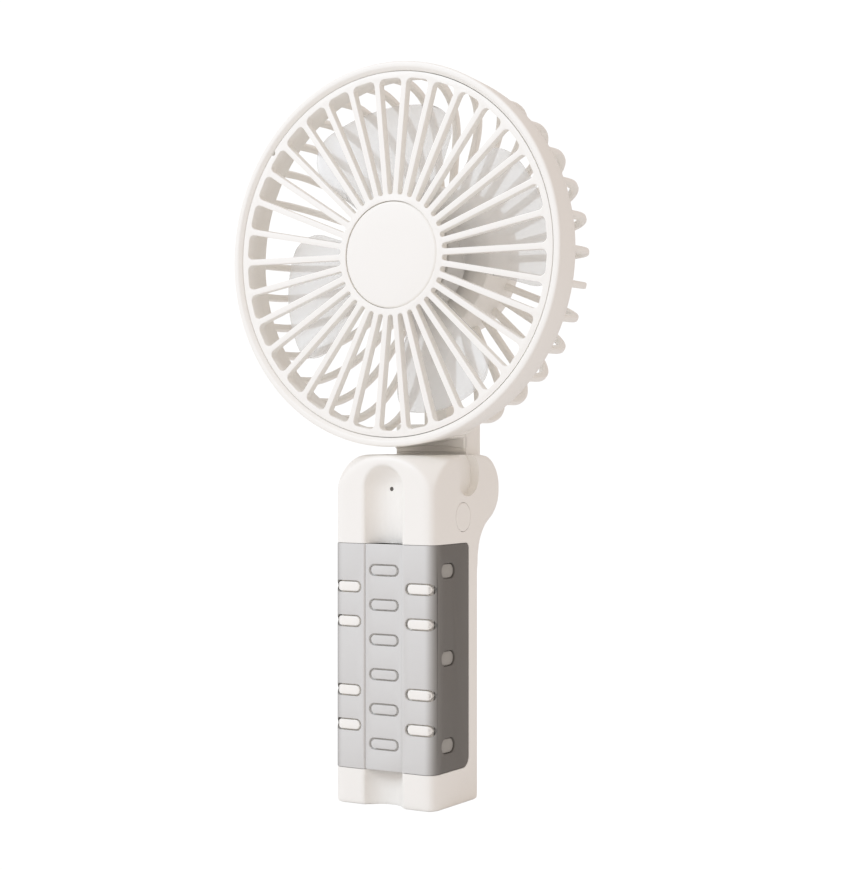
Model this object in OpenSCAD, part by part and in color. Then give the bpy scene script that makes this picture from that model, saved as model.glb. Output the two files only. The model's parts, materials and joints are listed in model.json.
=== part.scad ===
// Folding handheld electric fan. Millimetres, +Z up, front towards -Y.
// The origin is the centre of the flat face under the handle.

/* [Handle] */
// Width of the handle from side to side
handle_w = 32; // [29:0.5:40]
// Depth of the handle from front to back
handle_depth = 24.8; // [22.5:0.1:30]
// Height of the handle, which is also the top of the hinge knuckle
handle_h = 95.5; // [88:0.5:115]
// Wall left under the grip recess
handle_wall = 2; // [1.6:0.1:2.4]
// Radius of the two front vertical corners
front_corner_r = 2.2; // [1.5:0.1:4]
// Radius of the two rear vertical corners
rear_corner_r = 1.8; // [1:0.1:3]
// Thickness of the floor and of the top wall
end_wall = 2; // [1.6:0.1:3]
// Width of the finger groove down the front
groove_w = 12.3; // [9:0.1:14]
// Depth of the finger groove
groove_depth = 4.6; // [3:0.1:5]
// Distance from the handle top to the arch of the groove
groove_top_gap = 2.7; // [2:0.1:6]
// How far the top corners are shaved off at the front edges
shoulder_cut = 4.2; // [2:0.1:6]

/* [Back panel] */
// Thickness of the back panel
panel_t = 1.8; // [1.4:0.1:2.4]
// Width of the side wall edge that frames the panel
panel_rim = 2; // [1.6:0.1:3]
// Play between the panel and its frame
panel_play = 0.1; // [0.05:0.01:0.2]

/* [Grip] */
// Thickness of the soft grip, which lies flush in a recess
grip_t = 1.2; // [0.8:0.1:1.6]
// Height of the grip's lower edge above the base
grip_z = 9.9; // [6:0.1:16]
// Height of the grip
grip_h = 61.5; // [50:0.5:62]
// How far the grip reaches back along each side
grip_wrap = 18.9; // [14:0.1:20]
// Play between the grip and its recess
grip_play = 0.05; // [0.02:0.01:0.1]
// How far the grip's middle strip, which fills the groove, is set back
strip_set = 0.5; // [0.3:0.1:1.5]
// Distance between the rows of pockets
row_pitch = 9.45; // [8:0.05:9.6]
// Width of a pocket in the groove
pocket_w = 9.6; // [7:0.1:10]
// Height of a pocket in the groove
pocket_h = 3.3; // [2.6:0.1:4]
// Height of a slot over a rib
slot_h = 3.2; // [2.6:0.1:4]
// Distance of a slot's inner end from the middle plane
slot_inner = 7.4; // [7:0.1:9]
// How far a slot reaches round the corner
slot_wrap = 2.4; // [1.5:0.1:4]
// Half height of the long holes on the sides
stud_hole_r = 2.1; // [1.8:0.1:3]
// Length of the long holes on the sides
stud_len = 7; // [5:0.1:8]
// Distance of the long holes' middle from the front plane
stud_y = 7.9; // [6:0.1:12]
// Radius of the grip's upper rear corners
grip_top_r = 1.6; // [1:0.1:4]
// Radius of the grip's lower rear corners
grip_low_r = 3; // [1:0.1:5]
// Gap around each raised pad and stud
pad_gap = 0.35; // [0.2:0.05:0.6]

/* [Power button] */
// Radius of the button cap
button_r = 3.95; // [3:0.05:4.5]
// Play round the button cap
button_play = 0.15; // [0.1:0.01:0.3]
// Travel of the button
button_travel = 0.4; // [0.3:0.05:0.5]
// Height of the button's centre below the handle top
button_drop = 17; // [16:0.1:19]
// Distance of the button's centre behind the handle's middle
button_y = 3.5; // [3:0.1:4.5]
// Radius of the flange that keeps the button in
button_flange_r = 4.8; // [4.6:0.1:5.2]

/* [Strap notch] */
// Radius of the notch's rear arc
notch_r = 5.9; // [4:0.1:6.2]
// Radius of the post in front of it
notch_post_r = 6.3; // [4:0.1:7]
// Depth of the notch
notch_depth = 2; // [1:0.1:2.4]
// Depth of the strap pocket at its lower end
notch_pocket_depth = 3.2; // [2.5:0.1:3.4]

/* [Tilt hinge] */
// Radius of the knuckle at the top of the handle
knuckle_r = 9.5; // [9:0.1:11]
// Distance of the hinge axis behind the handle's back plane
hinge_back = 2.6; // [2:0.1:4]
// Radius of the steel hinge pin
pin_r = 1.5; // [1.2:0.1:2]
// Radial running play of the pin in its cradles
pin_play = 0.05; // [0.03:0.01:0.1]
// Radius of the neck's barrel on the pin
barrel_r = 6.5; // [5.5:0.1:6.8]
// Clear space round the barrel
barrel_gap = 0.5; // [0.4:0.05:0.8]
// Height where the knuckle's rear curve starts, below the handle top
fillet_drop = 29; // [26:0.5:34]
// Radius of a friction washer
washer_r = 4.5; // [3:0.1:5.5]
// Thickness of a friction washer
washer_t = 0.5; // [0.3:0.05:0.6]

/* [Neck] */
// Half width of the neck
neck_half_w = 11.4; // [9:0.1:11.6]
// Side play between the neck and the knuckle
neck_play = 0.35; // [0.3:0.05:0.5]
// Distance of the neck's front face behind the front lip
neck_front = 22.5; // [21:0.1:24]
// Distance of the seam of the neck cover behind the front lip
neck_seam = 28.1; // [27.5:0.1:29]
// Distance of the neck's rear face behind the front lip
neck_rear = 30.5; // [30:0.1:31.5]
// Wall of the neck
neck_wall = 1.8; // [1.4:0.1:2.4]
// Half width of the arm that joins the neck to the motor housing
arm_half_w = 3.6; // [3:0.1:5]

/* [Head] */
// Outer diameter of the head
head_d = 105; // [98:0.5:126]
// Gap between the handle top and the head
head_gap = 2.2; // [1.5:0.1:4]
// Distance of the tilt axis behind the front lip
hinge_behind_lip = 24.6; // [24:0.1:26]
// Depth of the drum from its lip to its rear edge
drum_depth = 10.5; // [9:0.1:12]
// How much the drum narrows towards the rear
drum_taper = 0.8; // [0.2:0.1:1.2]
// Wall of the drum at its lip
drum_wall = 2.3; // [1.8:0.1:3]
// Chamfer inside the lip
lip_chamfer = 1; // [0.5:0.1:1.3]

/* [Front grille] */
// Number of spokes in the grille and ribs in the cage
rib_count = 34; // [20:2:40]
// How far the grille's face stands behind the lip
grille_set = 1; // [0:0.1:1.2]
// Width of a front spoke
spoke_w = 1.6; // [1.2:0.1:2.2]
// Depth of a front spoke
spoke_t = 2.4; // [1.8:0.1:3]
// Gap between the grille and the drum
grille_gap = 0.4; // [0.3:0.05:0.8]
// Width of the grille's outer rim
grille_rim = 1.6; // [1.2:0.1:2.5]
// Depth of the skirt behind the rim
grille_skirt = 5; // [4:0.1:6]
// Radius of the solid centre
grille_hub_r = 16.4; // [13:0.1:20]
// Radius of the centre cap
cap_r = 14.6; // [10:0.1:15]
// Thickness of the centre cap
cap_t = 1.4; // [1:0.1:2]
// Play round the centre cap
cap_play = 0.15; // [0.05:0.05:0.3]

/* [Rear cage] */
// Depth of a cage rib, measured square to its outline
cage_rib_d = 2; // [1.4:0.1:2.5]
// Thickness of a cage rib
cage_rib_t = 2; // [1.2:0.1:2.6]
// Distance of the cage's flat rear face behind the lip
cage_rear = 32.5; // [31:0.1:36]
// Radius of the cage's rounded shoulder
cage_round = 17; // [8:0.1:20]
// Outer radius of the motor housing
pod_r = 21; // [19:0.1:23]
// Distance of the motor housing's front plate behind the lip
pod_front = 19; // [18:0.1:20]
// Wall of the motor housing
pod_wall = 1.8; // [1.4:0.1:2.4]

/* [Impeller] */
// Number of blades
blade_count = 4; // [3:1:5]
// Radius at the blade tips
blade_tip_r = 43.5; // [38:0.5:45]
// Angle that one blade spans
blade_span = 58; // [40:1:62]
// Pitch of a blade
blade_pitch = 20; // [12:1:22]
// Thickness of a blade
blade_t = 1.2; // [0.8:0.1:1.6]
// Radius of the hub
hub_r = 15.5; // [10:0.1:17]
// Distance of the hub's front face behind the lip
hub_front = 6.5; // [6:0.1:8]
// Length of the hub
hub_len = 9.5; // [8:0.1:10]

/* [Motor] */
// Radius of the motor can
can_r = 12.2; // [11:0.1:13]
// Length of the motor can
can_len = 11.2; // [11:0.1:12]
// Wall of the motor can
can_wall = 0.8; // [0.6:0.1:1]
// Radius of the motor shaft
shaft_r = 1; // [0.75:0.05:1.25]
// Radial running play of the shaft in its bushes
shaft_play = 0.04; // [0.02:0.01:0.08]

/* [Battery] */
// Width of the battery cell
cell_w = 22; // [18:0.5:23]
// Thickness of the battery cell
cell_t = 12; // [10:0.5:12]
// Length of the battery cell
cell_len = 49; // [40:0.5:49.5]

/* [Hidden] */
$fn = 96;

// overshoot of a through cut
over = 1;
// how far a blending arc reaches past its neighbour
blend = 0.05;

// handle planes
half_w = handle_w / 2;
front_y = -handle_depth / 2;
back_y = handle_depth / 2;
cavity_half_w = half_w - grip_t - handle_wall;
cavity_front_y = front_y + grip_t + handle_wall;
panel_y = back_y - panel_t;
panel_half_w = half_w - panel_rim - panel_play;
panel_z = end_wall + 0.5;
cavity_top = handle_h - end_wall;

// finger groove: an arc through its two edges and its floor
groove_r = (pow(groove_w / 2, 2) + pow(groove_depth, 2)) / (2 * groove_depth);
groove_y = front_y + groove_depth - groove_r;
groove_end_z = handle_h - groove_top_gap - groove_w / 2;
groove_floor_y = front_y + groove_depth;
groove_wall_y = groove_floor_y + grip_t + handle_wall;
strip_y = front_y + strip_set;

// tilt hinge
hinge_y = back_y + hinge_back;
hinge_z = handle_h - knuckle_r;
pocket_r = barrel_r + barrel_gap;
cheek_x = neck_half_w + neck_play;
cradle_x = half_w - panel_rim;
pin_half_len = cradle_x - 0.2;
barrel_half_w = cheek_x - washer_t - 0.1;
slot_floor_z = hinge_z - pocket_r;
partition_y = hinge_y - pocket_r - 1.4;
partition_z = slot_floor_z - panel_t;

// concave curve from the back plane up to the knuckle
fillet_z = handle_h - fillet_drop;
fillet_rise = hinge_z - fillet_z;
fillet_r = (pow(hinge_back, 2) + pow(fillet_rise, 2) - pow(knuckle_r, 2))
    / (2 * (hinge_back + knuckle_r));
fillet_y = back_y + fillet_r;

// head: the head's own axis runs along +Y from the front lip
head_r = head_d / 2;
lip_y = hinge_y - hinge_behind_lip;
head_z = handle_h + head_gap + head_r;
drum_inner_r = head_r - drum_wall;
grille_r = drum_inner_r - grille_gap;
slot_outer_r = grille_r - grille_rim;
rib_pitch = 360 / rib_count;
cage_r = head_r - drum_taper - 0.5;
cage_ring_r = drum_inner_r - 0.05;
cage_bend = cage_rear - cage_round;
cage_ring_end = drum_depth + 0.6;
cage_ring_t = 0.9;
grille_back = grille_set + spoke_t;
skirt_end = grille_set + grille_skirt;
pod_rear = cage_rear + 4;
pod_cover_t = 1.6;
hub_floor = 1.6;
wire_r = 0.5;

// neck, in the handle's own axes
neck_y = lip_y + neck_front;
seam_y = lip_y + neck_seam;
neck_rear_y = lip_y + neck_rear;
neck_top_z = head_z - cage_r + 5;
channel_half_w = arm_half_w - 1.2;
channel_y = neck_y + neck_wall;
arm_front_y = lip_y + 25;
arm_floor_y = arm_front_y + 1.2;
wire_gap = 3;
wire_bend_y = hinge_y - pin_r - 1.2;
wire_bend_z = hinge_z + pin_r + 1.3;
wire_up_y = channel_y + 1.2;
wire_arm_y = arm_floor_y + 0.7;
wire_turn_z = neck_top_z - 2;
wire_lane_r = (can_r + pod_r - pod_wall) / 2;
neck_screw_x = neck_half_w - 3;
neck_screw_z = neck_top_z - 4.6;
neck_screw_r = 0.8;
neck_screw_head_r = 1.6;
neck_screw_seat_y = neck_rear_y - 1.2;

// motor, along the head's axis
can_front = pod_front + pod_wall;
can_rear = can_front + can_len;
bush_r = shaft_r + 1.5;
shaft_front = hub_front + 2.2;
shaft_rear = can_rear + 1.6;
core_r = 9.2;
core_front = can_front + 2.9;
core_len = 5.2;
magnet_r = can_r - can_wall;
magnet_t = 1.5;
commutator_r = 2.6;
commutator_len = 1.3;
commutator_front = core_front + core_len + 0.8;
end_cap_t = 1.2;
terminal_wire_y = lip_y + can_rear + end_cap_t + wire_r + 0.05;
motor_screw_x = 8;
motor_screw_r = 0.9;
terminal_x = 1.2;
terminal_z = 7.2;
motor_lead_x = terminal_x;

// handle contents
shelf_t = 1.4;
cell_z = 13.6;
cell_front_y = groove_wall_y;
cell_top_z = cell_z + cell_len;
screw_x = cavity_half_w - 2.8;
screw_low_z = 7;
screw_high_z = cell_top_z + shelf_t + 3.4;
boss_r = 2.3;
boss_end_y = panel_y - 1.6;
screw_shank_r = 1;
screw_head_r = 1.9;
screw_len = 7;
screw_seat_y = back_y - 1.4;
screw_sink = 0.2;
board_t = 1.2;
board_half_w = 9.5;
board_rear_y = button_y - 1.8;
board_front_y = board_rear_y - board_t;
board_z = screw_high_z + boss_r + 1.2;
board_top_z = cavity_top - 1.6;
board_screw_x = 4.6;
board_screw_r = 0.8;
board_screw_head_r = 1.5;
board_screw_z = board_z + 5.5;
led_z = groove_end_z - 0.4;
led_t = 0.9;
pipe_tip_r = 0.6;
pipe_r = 1.2;
button_z = handle_h - button_drop;
button_proud = 0.1;
flange_t = 0.9;
switch_half = 3;
switch_depth = 3.6;
switch_face_x = board_half_w + 0.4;
plunger_r = 0.9;
plunger_tip_x = switch_face_x + 1;
usb_half_w = 4.47;
usb_half_t = 1.63;
usb_len = 7.3;
usb_z = 0.4;
usb_play = 0.15;
charge_board_half_w = 7;
charge_board_t = 1;
charge_board_top = cell_z - shelf_t - 0.4;
lead_x = 1.4;
lead_y = cell_front_y + 3.5;
lead_z = board_z + 1;
charge_lane_x = 6.2;
charge_lane_y = cell_front_y + cell_t + 1;
usb_y = charge_lane_y - 4.4;
usb_rear_y = usb_y + usb_half_t;
charge_lead_low_z = charge_board_top - 1.2;
charge_lead_top_z = board_z + 1.2;
notch_y = 6.2;
notch_z = handle_h - 5.3;
notch_post_y = -2.9;
notch_post_z = handle_h - 5.5;
notch_pocket_y = 4.4;
notch_pocket_z = handle_h - 8.6;
notch_pocket_r = 1.6;

grip_rear_y = front_y + grip_wrap;
grip_mid_z = grip_z + grip_h / 2;
pocket_rows = [-2.5, -1.5, -0.5, 0.5, 1.5, 2.5];
slot_rows = [-2, -1, 1, 2];
stud_rows = [-2.5, 0, 2.5];

cream = [0.95, 0.93, 0.89];
warm_grey = [0.62, 0.60, 0.57];
steel = [0.72, 0.73, 0.75];
board_green = [0.10, 0.35, 0.20];
copper = [0.72, 0.42, 0.22];
dark = [0.12, 0.12, 0.13];

// ---------- placing ----------

// runs the children's +Z along the head's axis, from the front lip back
module on_head_axis() {
    translate([0, lip_y, head_z])
        rotate([-90, 0, 0])
            children();
}

// turns an outline drawn in (y, z) into a slab between two x planes
module side_slab(x_from, x_to) {
    translate([x_from, 0, 0])
        rotate([90, 0, 90])
            linear_extrude(x_to - x_from)
                children();
}

// a cylinder along +Y
module rod_y(r, y_from, y_to, x = 0, z = 0) {
    translate([x, y_from, z])
        rotate([-90, 0, 0])
            cylinder(r = r, h = y_to - y_from);
}

// a cylinder along +X
module rod_x(r, x_from, x_to, y = 0, z = 0) {
    translate([x_from, y, z])
        rotate([0, 90, 0])
            cylinder(r = r, h = x_to - x_from);
}

module box(from, to) {
    translate(from)
        cube(to - from);
}

// a ring from z_from to z_to
module tube(r_out, r_in, z_from, z_to) {
    translate([0, 0, z_from])
        linear_extrude(z_to - z_from)
            difference() {
                circle(r = r_out);
                circle(r = r_in);
            }
}

// both mirror images of the children
module both_sides() {
    children();
    mirror([1, 0, 0])
        children();
}

// ---------- handle outlines ----------

// plan of the handle, drawn in by inset
module plan_2d(inset = 0) {
    w = half_w - inset;
    f = front_y + inset;
    b = back_y - inset;
    rf = max(front_corner_r - inset, 0.6);
    rb = max(rear_corner_r - inset, 0.6);
    difference() {
        union() {
            translate([-w + rf, f])
                square([2 * (w - rf), rf]);
            translate([-w, f + rf])
                square([2 * w, b - f - rf - rb]);
            translate([-w + rb, b - rb])
                square([2 * (w - rb), rb]);
            for (side = [-1, 1]) {
                translate([side * (w - rf), f + rf])
                    circle(r = rf);
                translate([side * (w - rb), b - rb])
                    circle(r = rb);
            }
        }
        translate([0, groove_y])
            circle(r = groove_r + inset);
    }
}

// plan without the groove, for the stretch above the groove's arch
module plain_plan_2d() {
    union() {
        plan_2d();
        translate([-groove_w / 2 - 0.5, front_y])
            square([groove_w + 1, groove_depth + 1]);
    }
}

// side outline of the knuckle and the curve under it, in (y, z)
module knuckle_2d(inset = 0) {
    difference() {
        union() {
            translate([hinge_y, hinge_z])
                circle(r = knuckle_r - inset);
            polygon([
                [panel_y, fillet_z],
                [fillet_y, fillet_z],
                [hinge_y, hinge_z],
                [hinge_y, handle_h - inset],
                [panel_y, handle_h - inset]
            ]);
        }
        translate([fillet_y, fillet_z])
            circle(r = fillet_r + inset + blend);
    }
}

// the groove and its arched end, grown by extra
module groove_cutter(extra = 0, z_from = -over) {
    translate([0, groove_y, z_from])
        cylinder(r = groove_r + extra, h = groove_end_z - z_from);
    translate([0, groove_y, groove_end_z])
        sphere(r = groove_r + extra);
}

// the curved shave on the top front corners
module shoulder_cutter() {
    shave_r = 26;
    both_sides()
        translate([half_w, front_y, handle_h])
            rotate([0, 0, -45])
                translate([0, 0, -shave_r / 2])
                    rotate([90, 0, 0])
                        linear_extrude(handle_w, center = true)
                            difference() {
                                translate([-shoulder_cut, 0])
                                    square([2 * shoulder_cut, shave_r]);
                                translate([-shave_r - front_corner_r * 0.41, 0])
                                    circle(r = shave_r);
                            }
}

module handle_solid() {
    difference() {
        linear_extrude(handle_h)
            plain_plan_2d();
        groove_cutter();
        shoulder_cutter();
    }
    side_slab(-half_w, half_w)
        knuckle_2d();
}

// ---------- handle ----------

// every hole for the hinge, on both pieces that hold the pin
module hinge_clearance() {
    rod_x(pocket_r, -cheek_x, cheek_x, hinge_y, hinge_z);
    box([-cheek_x, neck_y - 0.45, slot_floor_z], [cheek_x, hinge_y + 2 * knuckle_r, handle_h + over]);
    rod_x(pin_r + pin_play, -pin_half_len - 0.1, pin_half_len + 0.1, hinge_y, hinge_z);
}

// the zone of the grip on the outside of the handle, with rounded rear corners
module grip_zone(shrink = 0) {
    low = grip_z + shrink;
    high = grip_z + grip_h - shrink;
    rear = grip_rear_y - shrink;
    top_r = grip_top_r - shrink;
    low_r = grip_low_r - shrink;
    side_slab(-handle_w, handle_w)
        union() {
            translate([-handle_depth, low])
                square([rear - low_r + handle_depth, low_r]);
            translate([-handle_depth, low + low_r])
                square([rear + handle_depth, high - top_r - low - low_r]);
            translate([-handle_depth, high - top_r])
                square([rear - top_r + handle_depth, top_r]);
            translate([rear - low_r, low + low_r])
                circle(r = low_r);
            translate([rear - top_r, high - top_r])
                circle(r = top_r);
        }
}

// the raised pads that show through the grip, grown by extra
module grip_windows(extra = 0) {
    half_h = slot_h / 2 - pad_gap + extra;
    for (row = slot_rows)
        translate([0, 0, grip_mid_z + row * row_pitch])
            both_sides() {
                box([slot_inner + slot_h / 2, front_y - over, -half_h],
                    [half_w + over, front_y + slot_wrap - pad_gap + extra, half_h]);
                rod_y(half_h, front_y - over, front_y + slot_wrap - pad_gap + extra,
                    slot_inner + slot_h / 2);
            }
    for (row = stud_rows)
        translate([0, front_y + stud_y, grip_mid_z + row * row_pitch])
            both_sides()
                side_pill(stud_hole_r - pad_gap + extra, stud_len / 2 - stud_hole_r);
}

// a long bar with round ends through the grip's side
module side_pill(r, half_flat) {
    box([half_w - 2 * grip_t, -half_flat, -r], [half_w + over, half_flat, r]);
    for (side = [-1, 1])
        rod_x(r, half_w - 2 * grip_t, half_w + over, side * half_flat);
}

// the strip of the grip that fills the groove
module strip_2d() {
    intersection() {
        translate([0, groove_y])
            circle(r = groove_r + blend);
        translate([-groove_w / 2, strip_y])
            square([groove_w, groove_depth]);
    }
}

module handle_cavity() {
    difference() {
        union() {
            box([-cavity_half_w, cavity_front_y, end_wall],
                [cavity_half_w, panel_y + over, partition_z]);
            box([-cavity_half_w, cavity_front_y, partition_z - over],
                [cavity_half_w, partition_y, cavity_top]);
        }
        groove_cutter(grip_t + handle_wall, 0);
        // thick wall behind the strap notch
        box([half_w - notch_pocket_depth - 1.2, notch_post_y, handle_h - 12.5],
            [half_w, partition_y + over, handle_h]);
    }
}

module handle_bosses() {
    both_sides() {
        for (z = [screw_low_z, screw_high_z])
            rod_y(boss_r, cavity_front_y - 0.5, boss_end_y, screw_x, z);
        rod_y(boss_r, cavity_front_y - 0.5, board_front_y, board_screw_x, board_screw_z);
    }
    // shelves under and over the battery
    for (z = [cell_z - shelf_t, cell_top_z])
        box([-cavity_half_w - 0.5, cavity_front_y - 0.5, z],
            [cavity_half_w + 0.5, cell_front_y + cell_t / 2, z + shelf_t]);
    // seat of the charging board
    both_sides()
        box([charge_board_half_w, cavity_front_y, end_wall - 0.5],
            [charge_board_half_w + 1.2, usb_rear_y + charge_board_t, screw_low_z]);
}

module strap_notch() {
    side_slab(half_w - notch_depth, half_w + over)
        difference() {
            translate([notch_y, notch_z])
                circle(r = notch_r);
            translate([notch_post_y, notch_post_z])
                circle(r = notch_post_r);
        }
    rod_x(notch_pocket_r, half_w - notch_pocket_depth, half_w - notch_depth + 0.1,
        notch_pocket_y, notch_pocket_z);
}

module handle_body() {
    color(cream)
        difference() {
            union() {
                difference() {
                    handle_solid();
                    difference() {
                        grip_zone();
                        linear_extrude(handle_h)
                            plan_2d(grip_t);
                        grip_windows();
                    }
                    handle_cavity();
                    // frame of the back panel
                    box([-cradle_x, panel_y, panel_z - panel_play],
                        [cradle_x, back_y + 2 * knuckle_r, handle_h + over]);
                }
                intersection() {
                    handle_bosses();
                    linear_extrude(handle_h)
                        plan_2d(grip_t + 0.5);
                }
                // front halves of the pin cradles and the bridge over the barrel
                intersection() {
                    box([-cradle_x - 0.1, panel_y - 0.1, partition_z],
                        [cradle_x + 0.1, hinge_y, handle_h]);
                    side_slab(-half_w, half_w)
                        knuckle_2d();
                }
            }
            hinge_clearance();
            strap_notch();
            // button hole, and room for its flange to travel
            rod_x(button_r + button_play, cavity_half_w - 1, half_w + over, button_y, button_z);
            rod_x(button_flange_r + 0.3, cavity_half_w - 0.5 - flange_t - button_travel, cavity_half_w,
                button_y, button_z);
            // indicator hole
            rod_y(pipe_tip_r + 0.05, front_y - over, groove_wall_y + over, 0, led_z);
            rod_y(pipe_r + 0.05, groove_floor_y + 1.2, groove_wall_y + over, 0, led_z);
            // charging port
            charging_port();
            // pilot holes
            both_sides() {
                for (z = [screw_low_z, screw_high_z])
                    rod_y(screw_shank_r, screw_seat_y - screw_len, boss_end_y + over, screw_x, z);
                rod_y(board_screw_r, board_front_y - 5, board_front_y + over, board_screw_x, board_screw_z);
            }
            // ways for the wires
            box([-3, partition_y - over, hinge_z - 1], [3, hinge_y, hinge_z + 1]);
            box([-lead_x - 1.2, cell_front_y, cell_top_z - 0.5],
                [lead_x + 1.2, cell_front_y + cell_t, cell_top_z + 2 * shelf_t]);
        }
}

module charging_port() {
    box([-usb_half_w + usb_half_t, usb_y - usb_half_t - usb_play, -over],
        [usb_half_w - usb_half_t, usb_y + usb_half_t + usb_play, end_wall + over]);
    for (side = [-1, 1])
        translate([side * (usb_half_w - usb_half_t), usb_y, -over])
            cylinder(r = usb_half_t + usb_play, h = end_wall + 2 * over);
}

module handle_back() {
    color(cream)
        difference() {
            union() {
                box([-panel_half_w, panel_y, panel_z], [panel_half_w, back_y, fillet_z + 2]);
                both_sides()
                    for (z = [screw_low_z, screw_high_z])
                        rod_y(boss_r + 0.5, boss_end_y, panel_y + 0.5, screw_x, z);
                // curved skin under the knuckle
                intersection() {
                    side_slab(-panel_half_w, panel_half_w)
                        difference() {
                            knuckle_2d();
                            difference() {
                                knuckle_2d(panel_t);
                                translate([0, slot_floor_z - panel_t])
                                    square([2 * handle_depth, handle_h]);
                            }
                        }
                    box([-panel_half_w, panel_y, fillet_z], [panel_half_w, handle_depth * 2, slot_floor_z]);
                }
                // ears that close the pin cradles
                both_sides()
                    intersection() {
                        side_slab(cheek_x, panel_half_w)
                            knuckle_2d();
                        box([0, hinge_y + panel_play, slot_floor_z - panel_t],
                            [half_w, handle_depth * 2, handle_h]);
                    }
            }
            // the body's cradles and bridge stand here
            box([-handle_w, panel_y - over, partition_z - panel_play],
                [handle_w, hinge_y + panel_play, handle_h + over]);
            hinge_clearance();
            both_sides()
                for (z = [screw_low_z, screw_high_z]) {
                    rod_y(screw_shank_r, boss_end_y - over, back_y, screw_x, z);
                    rod_y(screw_head_r + 0.1, screw_seat_y, back_y + over, screw_x, z);
                }
        }
}

module handle_screws() {
    color(steel)
        both_sides()
            for (z = [screw_low_z, screw_high_z])
                difference() {
                    union() {
                        rod_y(screw_shank_r, screw_seat_y - screw_len, screw_seat_y + 0.1, screw_x, z);
                        rod_y(screw_head_r, screw_seat_y, back_y - screw_sink, screw_x, z);
                    }
                    for (turn = [0, 90])
                        translate([screw_x, back_y, z])
                            rotate([0, turn, 0])
                                cube([2.2, 1.6, 0.5], center = true);
                }
}

module grip_sleeve() {
    color(warm_grey)
        difference() {
            intersection() {
                linear_extrude(handle_h)
                    union() {
                        difference() {
                            plan_2d();
                            plan_2d(grip_t - grip_play);
                        }
                        strip_2d();
                    }
                grip_zone(grip_play);
            }
            grip_windows(pad_gap);
            for (row = pocket_rows)
                translate([0, 0, grip_mid_z + row * row_pitch])
                    difference() {
                        groove_pocket(pocket_w, pocket_h, strip_y + grip_t / 2);
                        groove_pocket(pocket_w - 1.4, pocket_h - 0.9, strip_y + grip_t);
                    }
        }
}

// a long hole with round ends, cut into the groove from the front
module groove_pocket(w, h, y_to) {
    flat = (w - h) / 2;
    box([-flat, front_y - over, -h / 2], [flat, y_to, h / 2]);
    for (side = [-1, 1])
        rod_y(h / 2, front_y - over, y_to, side * flat);
}

// ---------- button and electronics ----------

module power_button() {
    color(cream) {
        rod_x(button_r, cavity_half_w - 0.3 - flange_t / 2, half_w + button_proud, button_y, button_z);
        rod_x(button_flange_r, cavity_half_w - 0.2 - flange_t, cavity_half_w - 0.2, button_y, button_z);
        rod_x(1.5, plunger_tip_x + 0.02, cavity_half_w - flange_t, button_y, button_z);
    }
}

module switch_plunger() {
    color(dark)
        rod_x(plunger_r, switch_face_x - 1, plunger_tip_x, button_y, button_z);
}

module button_switch() {
    color(steel)
        difference() {
            box([switch_face_x - 3.5, board_rear_y, button_z - switch_half],
                [switch_face_x, board_rear_y + switch_depth, button_z + switch_half]);
            rod_x(plunger_r + 0.06, switch_face_x - 1.7, switch_face_x + over, button_y, button_z);
        }
}

module main_board() {
    color(board_green)
        difference() {
            box([-board_half_w, board_front_y, board_z], [board_half_w, board_rear_y, board_top_z]);
            both_sides()
                rod_y(board_screw_r + 0.2, board_front_y - over, board_rear_y + over, board_screw_x, board_screw_z);
        }
}

module board_chips() {
    color(dark) {
        box([-3, board_rear_y, led_z - 9.5], [2, board_rear_y + 1.5, led_z - 5.5]);
        box([-8, board_rear_y, led_z - 6], [-5, board_rear_y + 1.2, led_z - 2]);
        box([-2.5, board_rear_y, led_z - 3.5], [0.5, board_rear_y + 1.1, led_z - 1]);
    }
}

module board_screws() {
    color(steel)
        both_sides() {
            rod_y(board_screw_r, board_front_y - 4, board_rear_y + 0.1, board_screw_x, board_screw_z);
            rod_y(board_screw_head_r, board_rear_y, board_rear_y + 1, board_screw_x, board_screw_z);
        }
}

module indicator_led() {
    color([1, 0.98, 0.9])
        box([-0.8, board_front_y - led_t, led_z - 0.6], [0.8, board_front_y, led_z + 0.6]);
}

module light_pipe() {
    color([0.9, 0.95, 0.95]) {
        rod_y(pipe_tip_r, groove_floor_y + 0.1, groove_floor_y + 1.5, 0, led_z);
        rod_y(pipe_r, groove_floor_y + 1.3, board_front_y - led_t - 0.2, 0, led_z);
    }
}

module battery_cell() {
    color([0.75, 0.77, 0.80]) {
        flat = cell_w / 2 - 3;
        edge_r = 3;
        mid_y = cell_front_y + cell_t / 2;
        difference() {
            box([-cell_w / 2, cell_front_y, cell_z], [cell_w / 2, cell_front_y + cell_t, cell_top_z]);
            // rounded long edges of the pouch
            both_sides()
                for (side = [-1, 1])
                    translate([flat, mid_y + side * (cell_t / 2 - edge_r), cell_z - over])
                        difference() {
                            translate([0, side > 0 ? 0 : -edge_r - over, 0])
                                cube([edge_r + over, edge_r + over, cell_len + 2 * over]);
                            cylinder(r = edge_r, h = cell_len + 2 * over);
                        }
        }
    }
}

module battery_pad() {
    color(dark)
        box([-5, cell_front_y + cell_t, cell_z + 8], [5, panel_y, cell_top_z - 8]);
}

module charge_board() {
    color(board_green)
        box([-charge_board_half_w + 0.1, usb_rear_y, end_wall + 0.2],
            [charge_board_half_w - 0.1, usb_rear_y + charge_board_t, charge_board_top]);
}

module charging_socket() {
    color(steel)
        difference() {
            usb_shell(0, usb_z, usb_z + usb_len);
            difference() {
                usb_shell(0.35, usb_z - over, usb_z + usb_len - 1);
                box([-3.3, usb_y - 0.35, usb_z + 0.8], [3.3, usb_y + 0.35, usb_z + usb_len]);
            }
        }
}

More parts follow.
